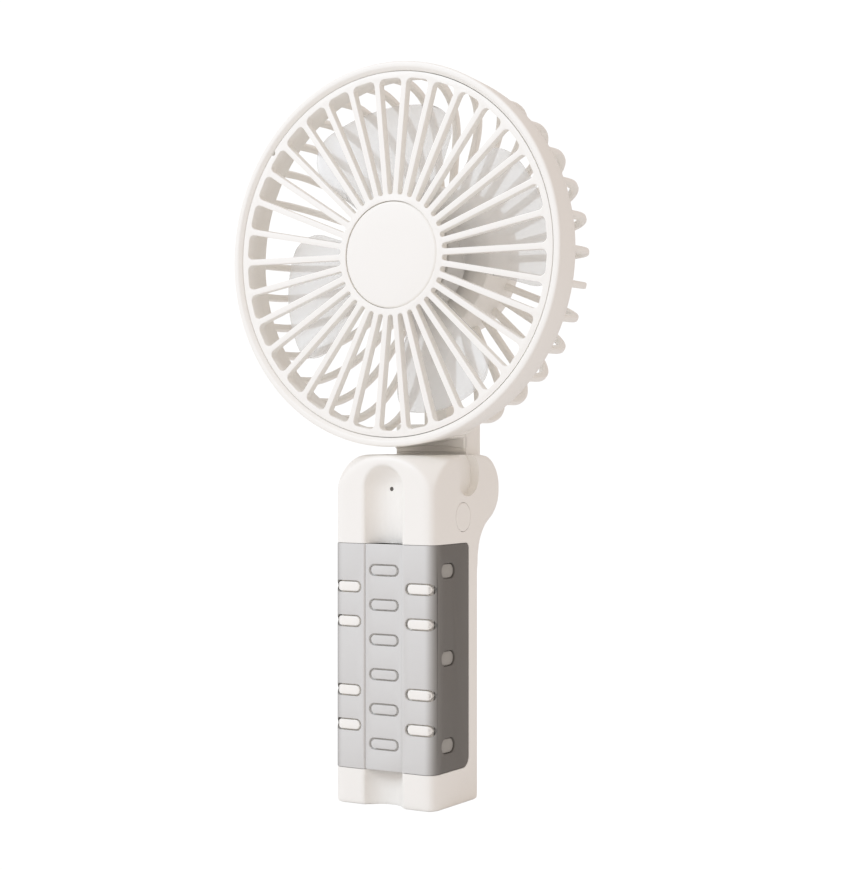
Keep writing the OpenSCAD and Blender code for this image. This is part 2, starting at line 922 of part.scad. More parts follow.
module usb_shell(inset, z_from, z_to) {
    r = usb_half_t - inset;
    flat = usb_half_w - usb_half_t;
    box([-flat, usb_y - r, z_from], [flat, usb_y + r, z_to]);
    for (side = [-1, 1])
        translate([side * flat, usb_y, z_from])
            cylinder(r = r, h = z_to - z_from);
}

// ---------- wires ----------

// square-bend wire through a list of points, each leg along one axis
module wire(points, r = wire_r) {
    for (i = [0 : len(points) - 2]) {
        a = points[i];
        b = points[i + 1];
        low = [for (k = [0 : 2]) min(a[k], b[k]) - r];
        high = [for (k = [0 : 2]) max(a[k], b[k]) + r];
        box(low, high);
    }
}

module battery_leads() {
    color([0.75, 0.15, 0.12])
        for (x = [-lead_x, lead_x])
            wire([
                [x, lead_y, cell_top_z + wire_r],
                [x, lead_y, lead_z],
                [x, board_front_y - wire_r, lead_z]
            ]);
}

module charge_leads() {
    color([0.75, 0.15, 0.12])
        for (x = [-charge_lane_x, charge_lane_x])
            wire([
                [x, usb_rear_y + charge_board_t + wire_r, charge_lead_low_z],
                [x, charge_lane_y, charge_lead_low_z],
                [x, charge_lane_y, charge_lead_top_z],
                [x, board_rear_y + wire_r, charge_lead_top_z]
            ]);
}

module motor_leads() {
    color(dark)
        for (x = [-motor_lead_x, motor_lead_x])
            wire([
                [x, wire_bend_y, hinge_z],
                [x, board_rear_y + wire_r, hinge_z]
            ]);
}

module motor_wires() {
    color(dark)
        for (x = [-motor_lead_x, motor_lead_x])
            wire([
                [x, wire_bend_y, hinge_z + 2 * wire_r],
                [x, wire_bend_y, wire_bend_z],
                [x, wire_up_y, wire_bend_z],
                [x, wire_up_y, wire_turn_z],
                [x, wire_arm_y, wire_turn_z],
                [x, wire_arm_y, head_z - wire_lane_r],
                [x, terminal_wire_y, head_z - wire_lane_r],
                [x, terminal_wire_y, head_z - terminal_z - 0.6 - wire_r]
            ]);
}

// ---------- hinge ----------

module friction_washers() {
    color(steel)
        both_sides()
            difference() {
                rod_x(washer_r, cheek_x - washer_t, cheek_x, hinge_y, hinge_z);
                rod_x(pin_r + pin_play, 0, cheek_x + over, hinge_y, hinge_z);
            }
}

module hinge_pin() {
    color(steel)
        rod_x(pin_r, -pin_half_len, pin_half_len, hinge_y, hinge_z);
}

// ---------- rear of the head ----------

// outline of one cage rib, in (radius, distance behind the lip)
module cage_rib_2d() {
    translate([cage_r - cage_rib_d, drum_depth])
        square([cage_rib_d, cage_bend - drum_depth]);
    translate([cage_r - cage_round, cage_bend])
        intersection() {
            difference() {
                circle(r = cage_round);
                circle(r = cage_round - cage_rib_d);
            }
            square(cage_round);
        }
    translate([pod_r - pod_wall / 2, cage_rear - cage_rib_d])
        square([cage_r - cage_round - pod_r + pod_wall / 2, cage_rib_d]);
}

// the ribs, left out where the neck and its arm stand
module cage_ribs() {
    for (i = [0 : rib_count - 1])
        if (abs(cage_r * cos(i * rib_pitch)) > neck_half_w || sin(i * rib_pitch) < 0)
            rotate([0, 0, i * rib_pitch])
                rotate([90, 0, 0])
                    linear_extrude(cage_rib_t, center = true)
                        cage_rib_2d();
}

module motor_housing() {
    difference() {
        translate([0, 0, pod_front])
            cylinder(r = pod_r, h = pod_rear - pod_front);
        translate([0, 0, can_front])
            cylinder(r = pod_r - pod_wall, h = pod_rear);
        translate([0, 0, pod_front - over])
            cylinder(r = bush_r + 0.3, h = pod_wall + 2 * over);
        for (side = [-1, 1])
            translate([side * motor_screw_x, 0, pod_front - over])
                cylinder(r = motor_screw_r + 0.15, h = pod_wall + 2 * over);
    }
    // three ribs that centre the motor
    for (turn = [30, 150, 270])
        rotate([0, 0, turn])
            translate([can_r + 0.05, -0.8, can_front - 0.1])
                cube([pod_r - pod_wall - can_r + 0.3, 1.6, can_len - 2]);
}

module neck_block() {
    difference() {
        union() {
            box([-neck_half_w, neck_y, hinge_z], [neck_half_w, seam_y, neck_top_z]);
            rod_x(barrel_r, -barrel_half_w, barrel_half_w, hinge_y, hinge_z);
            // arm up to the motor housing
            box([-arm_half_w, arm_front_y, neck_top_z - over], [arm_half_w, seam_y, head_z - pod_r + 1]);
            // saddle between the drum and the neck
            intersection() {
                on_head_axis()
                    tube(cage_r, cage_r - cage_rib_d, drum_depth, neck_seam);
                box([-neck_half_w, lip_y, head_z - head_r], [neck_half_w, seam_y, neck_top_z]);
            }
        }
        // the barrel stays narrower than the neck
        both_sides()
            box([barrel_half_w, neck_y - knuckle_r, hinge_z - knuckle_r],
                [cradle_x, seam_y + over, hinge_z + barrel_r + 0.5]);
        rod_x(pin_r, -half_w, half_w, hinge_y, hinge_z);
        // the barrel is in two halves, with the wires between them
        box([-wire_gap, hinge_y - 2 * barrel_r, hinge_z - barrel_r - over],
            [wire_gap, hinge_y + 2 * barrel_r, hinge_z + pin_r + 2.7]);
        box([-wire_gap, neck_y - over, hinge_z + pin_r + 0.4],
            [wire_gap, channel_y + 2.4, hinge_z + barrel_r + 0.6]);
        // wire channel, closed by the cover
        box([-channel_half_w - 3, channel_y, hinge_z + barrel_r], [channel_half_w + 3, seam_y + over, neck_top_z - 1.5]);
        box([-channel_half_w, arm_floor_y, neck_top_z - 2 - over],
            [channel_half_w, seam_y + over, head_z - pod_r + 1 + over]);
        both_sides()
            rod_y(neck_screw_r, channel_y, seam_y + over, neck_screw_x, neck_screw_z);
    }
}

module rear_cage() {
    color(cream)
        difference() {
            union() {
                on_head_axis() {
                    tube(cage_ring_r, cage_ring_r - cage_ring_t, skirt_end, cage_ring_end);
                    cage_ribs();
                    motor_housing();
                }
                neck_block();
            }
            // way for the wires through the housing wall
            box([-channel_half_w, arm_floor_y, head_z - pod_r - over],
                [channel_half_w, seam_y, head_z - pod_r + pod_wall + over]);
        }
}

module neck_cover() {
    color(cream)
        difference() {
            union() {
                box([-neck_half_w, seam_y, hinge_z + 2], [neck_half_w, neck_rear_y, neck_top_z]);
                box([-arm_half_w, seam_y, neck_top_z - over], [arm_half_w, neck_rear_y, head_z - pod_r - 0.1]);
            }
            rod_x(barrel_r + 0.15, -half_w, half_w, hinge_y, hinge_z);
            box([-channel_half_w - 3, seam_y - over, hinge_z + 4],
                [channel_half_w + 3, neck_rear_y - 1.2, neck_top_z - 1.5]);
            both_sides() {
                box([barrel_half_w, seam_y - over, hinge_z],
                    [cradle_x, neck_rear_y + over, hinge_z + barrel_r + 0.5]);
                rod_y(neck_screw_r + 0.15, seam_y - over, neck_rear_y + over, neck_screw_x, neck_screw_z);
                rod_y(neck_screw_head_r + 0.1, neck_screw_seat_y, neck_rear_y + over, neck_screw_x, neck_screw_z);
            }
        }
}

module neck_screws() {
    color(steel)
        both_sides()
            difference() {
                union() {
                    rod_y(neck_screw_r, channel_y + 0.5, neck_screw_seat_y + 0.1, neck_screw_x, neck_screw_z);
                    rod_y(neck_screw_head_r, neck_screw_seat_y, neck_rear_y - screw_sink, neck_screw_x, neck_screw_z);
                }
                for (turn = [0, 90])
                    translate([neck_screw_x, neck_rear_y, neck_screw_z])
                        rotate([0, turn, 0])
                            cube([1.8, 1.2, 0.4], center = true);
            }
}

module motor_cover() {
    color(cream)
        on_head_axis() {
            translate([0, 0, pod_rear - pod_cover_t])
                cylinder(r = pod_r - pod_wall - 0.05, h = pod_cover_t);
            tube(pod_r - pod_wall - 0.05, pod_r - pod_wall - 1.2, can_rear - 1, pod_rear - 0.5);
        }
}

// ---------- front of the head ----------

module drum_shell() {
    color(cream)
        on_head_axis()
            rotate_extrude()
                polygon([
                    [drum_inner_r + lip_chamfer, 0],
                    [head_r - 0.4, 0],
                    [head_r, 0.4],
                    [head_r - drum_taper, drum_depth],
                    [drum_inner_r, drum_depth],
                    [drum_inner_r, lip_chamfer]
                ]);
}

// one opening between two spokes, along +X
module grille_slot_2d() {
    half = rib_pitch / 2;
    apex = spoke_w / 2 / sin(half);
    reach = head_d;
    intersection() {
        polygon([[apex, 0], [apex + reach * cos(half), reach * sin(half)],
            [apex + reach * cos(half), -reach * sin(half)]]);
        difference() {
            circle(r = slot_outer_r);
            circle(r = grille_hub_r);
        }
    }
}

module front_grille() {
    color(cream)
        on_head_axis()
            difference() {
                union() {
                    translate([0, 0, grille_set])
                        linear_extrude(spoke_t)
                            difference() {
                                circle(r = grille_r);
                                for (i = [0 : rib_count - 1])
                                    rotate([0, 0, (i + 0.5) * rib_pitch])
                                        grille_slot_2d();
                            }
                    tube(grille_r, grille_r - grille_rim + 0.2, grille_back - 1, skirt_end);
                    translate([0, 0, grille_back - 1])
                        cylinder(r = grille_hub_r - 0.3, h = 1.8);
                }
                translate([0, 0, grille_set - over])
                    cylinder(r = cap_r + cap_play, h = cap_t + over);
            }
}

module grille_cap() {
    color(cream)
        on_head_axis()
            translate([0, 0, grille_set])
                cylinder(r = cap_r, h = cap_t);
}

// ---------- motor ----------

module motor_can() {
    color(steel)
        on_head_axis()
            difference() {
                union() {
                    translate([0, 0, can_front])
                        cylinder(r = can_r, h = can_len);
                    translate([0, 0, pod_front + 0.2])
                        cylinder(r = bush_r + 0.2, h = pod_wall);
                }
                translate([0, 0, can_front + can_wall])
                    cylinder(r = can_r - can_wall, h = can_len);
                translate([0, 0, 0])
                    cylinder(r = bush_r - 0.5, h = can_rear);
                for (side = [-1, 1])
                    translate([side * motor_screw_x, 0, can_front - over])
                        cylinder(r = motor_screw_r, h = can_wall + 2 * over);
            }
}

module motor_end_cap() {
    color([0.85, 0.85, 0.82])
        on_head_axis()
            difference() {
                union() {
                    translate([0, 0, can_rear - 0.8])
                        cylinder(r = can_r - can_wall, h = 0.8 + end_cap_t / 2);
                    translate([0, 0, can_rear])
                        cylinder(r = can_r - 0.1, h = end_cap_t);
                    translate([0, 0, can_rear])
                        cylinder(r = bush_r + 1, h = 1.8);
                }
                translate([0, 0, can_rear - over])
                    cylinder(r = bush_r, h = end_cap_t + 2 * over);
                for (side = [-1, 1])
                    translate([side * terminal_x - 0.9, terminal_z - 0.1, can_rear - over])
                        cube([1.8, 0.8, end_cap_t + 2 * over]);
            }
}

module motor_magnets() {
    color(dark)
        on_head_axis()
            for (turn = [0, 180])
                rotate([0, 0, turn])
                    translate([0, 0, core_front - 0.8])
                        linear_extrude(core_len + 1.4)
                            intersection() {
                                difference() {
                                    circle(r = magnet_r);
                                    circle(r = magnet_r - magnet_t);
                                }
                                polygon([[0, 0], [can_r, 2 * can_r], [2 * can_r, 0], [can_r, -2 * can_r]]);
                            }
}

module motor_bushes() {
    color([0.70, 0.55, 0.30])
        on_head_axis() {
            tube(bush_r - 0.5, shaft_r + shaft_play, pod_front + 0.2, can_front + can_wall + 0.6);
            tube(bush_r, shaft_r + shaft_play, can_rear - 0.8, can_rear + 1.8);
        }
}

module motor_brushes() {
    color(copper)
        on_head_axis()
            for (side = [-1, 1])
                translate([side * (commutator_r + 0.32) - 0.2, -3, commutator_front + 0.2])
                    cube([0.4, 6, can_rear - 0.8 - commutator_front - 0.2]);
}

module motor_terminals() {
    color(copper)
        on_head_axis()
            for (side = [-1, 1])
                translate([side * terminal_x - 0.8, terminal_z, can_rear - 0.8])
                    cube([1.6, 0.6, 2.4]);
}

module motor_screws() {
    color(steel)
        on_head_axis()
            for (side = [-1, 1])
                translate([side * motor_screw_x, 0, 0]) {
                    translate([0, 0, pod_front - 1])
                        cylinder(r = 1.7, h = 1);
                    translate([0, 0, pod_front - 0.1])
                        cylinder(r = motor_screw_r, h = pod_wall + can_wall + 0.2);
                }
}

// ---------- rotor ----------

// plan of one blade, along +X
module blade_2d() {
    half = blade_span / 2;
    reach = 2 * blade_tip_r;
    intersection() {
        circle(r = blade_tip_r);
        polygon([[0, 0], [reach * cos(half), reach * sin(half)], [reach * cos(half), -reach * sin(half)]]);
    }
}

module impeller() {
    color([0.92, 0.92, 0.91, 0.8])
        on_head_axis()
            difference() {
                union() {
                    intersection() {
                        for (i = [0 : blade_count - 1])
                            rotate([0, 0, 73 + i * 360 / blade_count])
                                translate([0, 0, hub_front + hub_len / 2 + 0.8])
                                    rotate([blade_pitch, 0, 0])
                                        linear_extrude(blade_t, center = true)
                                            blade_2d();
                        cylinder(r = blade_tip_r, h = cage_rear);
                    }
                    translate([0, 0, hub_front])
                        cylinder(r = hub_r, h = hub_len);
                }
                translate([0, 0, hub_front + hub_floor])
                    tube_space();
                translate([0, 0, shaft_front])
                    cylinder(r = shaft_r, h = hub_len);
            }
}

// hollow of the hub round its centre boss
module tube_space() {
    difference() {
        cylinder(r = hub_r - 1.5, h = hub_len);
        cylinder(r = shaft_r + 2, h = hub_len);
    }
}

module motor_shaft() {
    color(steel)
        on_head_axis()
            translate([0, 0, shaft_front])
                cylinder(r = shaft_r, h = shaft_rear - shaft_front);
}

module armature_core() {
    color([0.45, 0.46, 0.48])
        on_head_axis()
            translate([0, 0, core_front])
                linear_extrude(core_len)
                    difference() {
                        circle(r = core_r);
                        circle(r = shaft_r);
                        for (turn = [60, 180, 300])
                            rotate(turn)
                                armature_slot_2d();
                    }
}

// one of the three winding spaces of the armature
module armature_slot_2d() {
    translate([core_r - 2, -0.6])
        square([4, 1.2]);
    intersection() {
        difference() {
            circle(r = core_r - 1.2);
            circle(r = 3.2);
        }
        polygon([[1.6, 0], [core_r, 5.6], [2 * core_r, 0], [core_r, -5.6]]);
    }
}

module armature_coils() {
    color(copper)
        on_head_axis()
            for (turn = [60, 180, 300])
                rotate([0, 0, turn])
                    translate([0, 0, core_front - 0.5])
                        linear_extrude(core_len + 1)
                            intersection() {
                                difference() {
                                    circle(r = core_r - 1.3);
                                    circle(r = 3.3);
                                }
                                polygon([[1.8, 0], [core_r, 5.4], [2 * core_r, 0], [core_r, -5.4]]);
                            }
}

module commutator() {
    color(copper)
        on_head_axis()
            tube(commutator_r, shaft_r, core_front + core_len, commutator_front + commutator_len);
}

handle_body();
handle_back();
handle_screws();
grip_sleeve();
power_button();
switch_plunger();
button_switch();
main_board();
board_chips();
board_screws();
indicator_led();
light_pipe();
battery_cell();
battery_pad();
battery_leads();
charge_board();
charging_socket();
charge_leads();
motor_leads();
friction_washers();
hinge_pin();
rear_cage();
neck_cover();
neck_screws();
motor_cover();
drum_shell();
front_grille();
grille_cap();
motor_can();
motor_end_cap();
motor_magnets();
motor_brushes();
motor_bushes();
motor_terminals();
motor_screws();
motor_wires();
impeller();
motor_shaft();
armature_core();
armature_coils();
commutator();
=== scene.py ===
import json
import math

import bpy
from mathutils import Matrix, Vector


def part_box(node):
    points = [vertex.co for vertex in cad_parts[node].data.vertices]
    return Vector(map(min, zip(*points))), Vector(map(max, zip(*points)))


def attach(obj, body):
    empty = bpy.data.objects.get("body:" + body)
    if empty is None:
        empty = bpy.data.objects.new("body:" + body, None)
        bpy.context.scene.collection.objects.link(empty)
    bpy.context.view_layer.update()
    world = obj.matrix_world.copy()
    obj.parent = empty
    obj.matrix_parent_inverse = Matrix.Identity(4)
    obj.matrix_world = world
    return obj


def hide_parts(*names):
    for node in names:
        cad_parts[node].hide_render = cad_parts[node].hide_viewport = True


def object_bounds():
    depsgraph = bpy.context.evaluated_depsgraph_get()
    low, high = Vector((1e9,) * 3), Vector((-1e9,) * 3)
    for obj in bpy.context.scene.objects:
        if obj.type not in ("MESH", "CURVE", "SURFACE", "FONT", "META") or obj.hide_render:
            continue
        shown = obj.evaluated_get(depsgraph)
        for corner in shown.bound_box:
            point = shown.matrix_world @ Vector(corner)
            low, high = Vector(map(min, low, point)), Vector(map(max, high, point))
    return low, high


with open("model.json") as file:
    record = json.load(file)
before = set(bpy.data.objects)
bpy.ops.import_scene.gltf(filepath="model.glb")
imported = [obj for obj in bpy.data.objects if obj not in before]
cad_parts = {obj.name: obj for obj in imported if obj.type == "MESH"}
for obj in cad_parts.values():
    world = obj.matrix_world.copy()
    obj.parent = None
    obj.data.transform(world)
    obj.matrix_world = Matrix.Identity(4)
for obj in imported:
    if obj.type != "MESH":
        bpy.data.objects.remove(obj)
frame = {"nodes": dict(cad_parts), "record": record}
cad_low, cad_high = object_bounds()

MM = 0.001

# ---------- sizes taken from the frame ----------

drum_low, drum_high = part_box("drum_shell")
grille_low, grille_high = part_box("front_grille")
cap_low, cap_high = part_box("grille_cap")
cage_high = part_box("rear_cage")[1]
cover_low, cover_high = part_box("neck_cover")
pod_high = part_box("motor_cover")[1]
handle_low, handle_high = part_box("handle_body")
panel_low, panel_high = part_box("handle_back")
grip_low, grip_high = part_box("grip_sleeve")
button_low, button_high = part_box("power_button")
impeller_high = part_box("impeller")[1]
pin_low, pin_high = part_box("hinge_pin")

# the head's own axis runs from the middle of the front lip towards +Y
LIP = Vector(((drum_low.x + drum_high.x) / 2, drum_low.y, (drum_low.z + drum_high.z) / 2))
HEAD_R = (drum_high.x - drum_low.x) / 2
DRUM_DEPTH = drum_high.y - drum_low.y
GRILLE_R = (grille_high.x - grille_low.x) / 2
CAP_R = (cap_high.x - cap_low.x) / 2
HINGE = (pin_low + pin_high) / 2
RIBS = 34
RIB_PITCH = 2 * math.pi / RIBS

# head
ROUND_SIDES = 136
SEAM = 0.15 * MM
GRILLE_SET = grille_low.y - LIP.y
SKIRT_END = grille_high.y - LIP.y
GRILLE_T = 2.4 * MM
LIP_CHAMFER = 1.0 * MM
CAGE_R = cage_high.x
CAGE_ROUND = 17 * MM
CAGE_REAR = 32.5 * MM
RIB_DEEP, RIB_T = 2.3 * MM, 1.9 * MM
POD_R = pod_high.x + 1.85 * MM
POD_FRONT = 19 * MM
POD_WALL = 1.8 * MM
ARM_HALF = 3.6 * MM
HUB_R = 15.5 * MM
HUB_FRONT = 6.5 * MM
HUB_LEN = 9.5 * MM
BLADES = 4
BLADE_SPAN = 66
BLADE_LEAN = 36
BLADE_TWIST = -15
BLADE_START = 17
BLADE_T = 1.2 * MM

# hinge
BARREL_R = 6.5 * MM
BARREL_HALF = 11.15 * MM
NECK_FRONT = LIP.y + 22.5 * MM
NECK_TOP = LIP.z - CAGE_R + 5 * MM
NECK_HALF = cover_high.x

# handle
TOP = handle_high.z
FRONT = handle_low.y
BACK = -FRONT
HALF_W = handle_high.x
FRONT_CORNER = 2.8 * MM
GROOVE_W = 12.3 * MM
GROOVE_FLOOR = FRONT + 4.6 * MM
GROOVE_R = ((GROOVE_W / 2) ** 2 + (GROOVE_FLOOR - FRONT) ** 2) / (2 * (GROOVE_FLOOR - FRONT))
GROOVE_Y = GROOVE_FLOOR - GROOVE_R
GROOVE_END = TOP - 2.7 * MM - GROOVE_W / 2
KNUCKLE_R = TOP - HINGE.z
FILLET_Z = TOP - 29 * MM
FILLET_R = (((HINGE.y - BACK) ** 2 + (HINGE.z - FILLET_Z) ** 2 - KNUCKLE_R ** 2)
            / (2 * (HINGE.y - BACK + KNUCKLE_R)))
FILLET_Y = BACK + FILLET_R
BUTTON_R = 3.95 * MM
SHOULDER_CUT, SHOULDER_DROP = 10.9 * MM, 12 * MM
SKIN = 0.5 * MM

# grip
GRIP_T = 1.2 * MM
GRIP_MID = (grip_low.z + grip_high.z) / 2
ROW_PITCH = 9.45 * MM
SLOT_H = 3.2 * MM
SLOT_INNER = 7.4 * MM
SLOT_WRAP = 2.4 * MM
STUD_R = 2.1 * MM
STUD_LEN = 7 * MM
STUD_Y = 7.9 * MM
STRIP_Y = FRONT + 0.5 * MM
POCKET_W = 9.6 * MM
POCKET_H = 3.3 * MM
SIDE_HOLE_DEPTH = 3.4 * MM
STUD_SET = 0.45 * MM
GRIP_LOW_R, GRIP_TOP_R = 3 * MM, 1.6 * MM
PAD_GAP = 0.35 * MM

# stage
WHITE_SEEN = 1.05


# ---------- modelling helpers ----------

def on_head(radius, depth, turn=0.0):
    """A point by its distance from the head's axis, its depth behind the lip and its turn from +X to +Z."""
    return LIP + Vector((radius * math.cos(turn), depth, radius * math.sin(turn)))


def arc(centre, radius, start, end, steps):
    """Points along an arc in a plane, from start to end in degrees."""
    turns = [math.radians(start + (end - start) * i / steps) for i in range(steps + 1)]
    return [(centre[0] + radius * math.cos(t), centre[1] + radius * math.sin(t)) for t in turns]


def clear_selection():
    if bpy.context.object and bpy.context.object.mode != "OBJECT":
        bpy.ops.object.mode_set(mode="OBJECT")
    bpy.ops.object.select_all(action="DESELECT")


def take(piece):
    """Makes a piece the only selected one and the active one."""
    clear_selection()
    piece.select_set(True)
    bpy.context.view_layer.objects.active = piece


def edit(piece, kind="VERT"):
    """Opens a piece for editing with nothing else selected."""
    take(piece)
    bpy.ops.object.mode_set(mode="EDIT")
    bpy.ops.mesh.select_mode(type=kind)


def close(piece=None):
    """Ends the editing of a piece."""
    bpy.ops.object.mode_set(mode="OBJECT")
    return piece


def select_all():
    bpy.ops.mesh.select_all(action="SELECT")


def turn_outward():
    """Selects all of the open piece and turns its normals outward."""
    select_all()
    bpy.ops.mesh.normals_make_consistent(inside=False)


def push_out(offset):
    """Extrudes what is selected by an offset."""
    bpy.ops.mesh.extrude_region_move(TRANSFORM_OT_translate={"value": offset})


def change(piece, kind, **settings):
    """Adds a modifier with its settings and applies it."""
    take(piece)
    modifier = piece.modifiers.new(kind.lower(), kind)
    for name, value in settings.items():
        setattr(modifier, name, value)
    bpy.ops.object.modifier_apply(modifier=modifier.name)
    return piece


def unpick(piece):
    """Clears what is selected inside a piece."""
    clear_selection()
    mesh = piece.data
    for group in (mesh.vertices, mesh.edges, mesh.polygons):
        group.foreach_set("select", [False] * len(group))
    return mesh


def pick(piece, kind, test):
    """Selects the vertices, edges or faces whose points all pass the test, and opens the piece."""
    mesh = unpick(piece)
    if kind == "VERT":
        for v in mesh.vertices:
            v.select = test(v.co)
    else:
        for item in mesh.edges if kind == "EDGE" else mesh.polygons:
            item.select = all(test(mesh.vertices[i].co) for i in item.vertices)
    edit(piece, kind)


def pick_normals(piece, test):
    """Selects the faces whose normal and middle pass the test, and opens the piece."""
    for face in unpick(piece).polygons:
        face.select = test(face.normal, face.center)
    edit(piece, "FACE")


def place_in_mesh(piece):
    """Moves the piece's place, turn and size into its mesh."""
    take(piece)
    bpy.ops.object.transform_apply(location=True, rotation=True, scale=True)


def outline(name, points):
    """A closed wire drawn from point to point, left open for editing with all of it selected."""
    clear_selection()
    bpy.ops.mesh.primitive_plane_add(size=MM, location=points[0])
    piece = bpy.context.object
    piece.name = name
    place_in_mesh(piece)
    edit(piece)
    select_all()
    bpy.ops.mesh.merge(type="CENTER")
    for a, b in zip(points, points[1:] + points[:1]):
        push_out(Vector(b) - Vector(a))
    select_all()
    bpy.ops.mesh.remove_doubles(threshold=0.001 * MM)
    return piece


def lathe(name, section):
    """A turned piece: a closed section of (radius, depth) points spun round the head's axis."""
    piece = outline(name, [on_head(r, d) for r, d in section])
    bpy.ops.mesh.spin(steps=ROUND_SIDES, angle=2 * math.pi, center=LIP, axis=(0, 1, 0))
    select_all()
    bpy.ops.mesh.remove_doubles(threshold=0.002 * MM)
    turn_outward()
    return close(piece)


def slab(name, points, push):
    """A flat outline filled and pushed into a solid."""
    piece = outline(name, points)
    bpy.ops.mesh.edge_face_add()
    push_out(push)
    turn_outward()
    return close(piece)


def block(name, low, high):
    """A box between two corners, placed in its mesh."""
    clear_selection()
    low, high = Vector(low), Vector(high)
    bpy.ops.mesh.primitive_cube_add(size=1, location=(low + high) / 2, scale=high - low)
    piece = bpy.context.object
    piece.name = name
    place_in_mesh(piece)
    return piece


def rod(name, radius, start, end, sides=64):
    """A round bar between two points along one axis, placed in its mesh."""
    clear_selection()
    start, end = Vector(start), Vector(end)
    turn = (end - start).to_track_quat("Z", "Y").to_euler()
    bpy.ops.mesh.primitive_cylinder_add(
        vertices=sides, radius=radius, depth=(end - start).length, location=(start + end) / 2, rotation=turn)
    piece = bpy.context.object
    piece.name = name
    place_in_mesh(piece)
    return piece


def join(name, pieces):
    clear_selection()
    for piece in pieces:
        piece.select_set(True)
    bpy.context.view_layer.objects.active = pieces[0]
    if len(pieces) > 1:
        bpy.ops.object.join()
    pieces[0].name = name
    return pieces[0]


def carve(piece, tool, how="DIFFERENCE"):
    """Cuts the tool out of the piece, or welds it on, and throws the tool away."""
    change(piece, "BOOLEAN", operation=how, solver="EXACT", object=tool)
    bpy.data.objects.remove(tool, do_unlink=True)
    return piece


def weld(piece, tool):
    return carve(piece, tool, "UNION")


def repeat_round(piece, count, step, skip=()):
    """Copies what the piece holds round the head's axis, leaving out some places."""
    edit(piece)
    select_all()
    turned = 1
    for i in range(1, count):
        if i in skip:
            turned += 1
            continue
        bpy.ops.mesh.duplicate()
        bpy.ops.transform.rotate(value=step * turned, orient_axis="Y", center_override=LIP)
        turned = 1
    return close(piece)


def soften(piece, width, segments=3, angle=32, clamp=True):
    """Rounds every edge sharper than the angle."""
    return change(piece, "BEVEL", width=width, segments=segments, limit_method="ANGLE",
                  angle_limit=math.radians(angle), use_clamp_overlap=clamp)


def round_edges(piece, width, segments, test):
    """Rounds the edges whose two ends pass the test."""
    pick(piece, "EDGE", test)
    bpy.ops.mesh.bevel(offset=width, segments=segments, affect="EDGES", clamp_overlap=True)
    return close(piece)


def merged_copy(node, name):
    """A copy of a CAD node with its triangles merged, ready to be worked on."""
    piece = bpy.data.objects.new(name, frame["nodes"][node].data.copy())
    bpy.context.scene.collection.objects.link(piece)
    edit(piece)
    select_all()
    bpy.ops.mesh.remove_doubles(threshold=0.001 * MM)
    bpy.ops.mesh.dissolve_limited(angle_limit=math.radians(0.6))
    return close(piece)


def hand_in(piece, body, material, nodes=(), smooth=32):
    """Shades a finished piece and fixes it to its body."""
    take(piece)
    bpy.ops.object.shade_smooth_by_angle(angle=math.radians(smooth))
    piece.data.materials.clear()
    piece.data.materials.append(material)
    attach(piece, body)
    if nodes:
        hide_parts(*nodes)
    return piece


# ---------- surface effects ----------

def moulded_surface():
    """Soft tone drift, roughness drift and a fine grain, as on a moulded or sprayed surface."""
    tree = bpy.data.node_groups.new("moulded_surface", "ShaderNodeTree")
    face = tree.interface
    for name, kind, start in (
            ("Color", "NodeSocketColor", (0.8, 0.8, 0.8, 1)),
            ("Shade", "NodeSocketColor", (0.7, 0.7, 0.7, 1)),
            ("Drift size", "NodeSocketFloat", 60.0),
            ("Grain size", "NodeSocketFloat", 2500.0),
            ("Roughness", "NodeSocketFloat", 0.4),
            ("Roughness drift", "NodeSocketFloat", 0.08)):
        socket = face.new_socket(name, in_out="INPUT", socket_type=kind)
        socket.default_value = start
    for name, kind in (
            ("Color", "NodeSocketColor"), ("Roughness", "NodeSocketFloat"), ("Height", "NodeSocketFloat")):
        face.new_socket(name, in_out="OUTPUT", socket_type=kind)
    given = tree.nodes.new("NodeGroupInput")
    result = tree.nodes.new("NodeGroupOutput")
    place = tree.nodes.new("ShaderNodeTexCoord")
    drift = tree.nodes.new("ShaderNodeTexNoise")
    drift.inputs["Detail"].default_value = 3
    grain = tree.nodes.new("ShaderNodeTexNoise")
    grain.inputs["Detail"].default_value = 2
    mix = tree.nodes.new("ShaderNodeMix")
    mix.data_type = "RGBA"
    spread = tree.nodes.new("ShaderNodeMath")
    spread.operation = "MULTIPLY_ADD"
    centred = tree.nodes.new("ShaderNodeMath")
    centred.operation = "SUBTRACT"
    centred.inputs[1].default_value = 0.5
    link = tree.links.new
    link(place.outputs["Object"], drift.inputs["Vector"])
    link(place.outputs["Object"], grain.inputs["Vector"])
    link(given.outputs["Drift size"], drift.inputs["Scale"])
    link(given.outputs["Grain size"], grain.inputs["Scale"])
    link(drift.outputs["Fac"], mix.inputs["Factor"])
    link(given.outputs["Color"], mix.inputs["A"])
    link(given.outputs["Shade"], mix.inputs["B"])
    link(drift.outputs["Fac"], centred.inputs[0])
    link(centred.outputs[0], spread.inputs[0])
    link(given.outputs["Roughness drift"], spread.inputs[1])
    link(given.outputs["Roughness"], spread.inputs[2])
    link(mix.outputs["Result"], result.inputs["Color"])
    link(spread.outputs[0], result.inputs["Roughness"])
    link(grain.outputs["Fac"], result.inputs["Height"])
    return tree


MOULDED = moulded_surface()


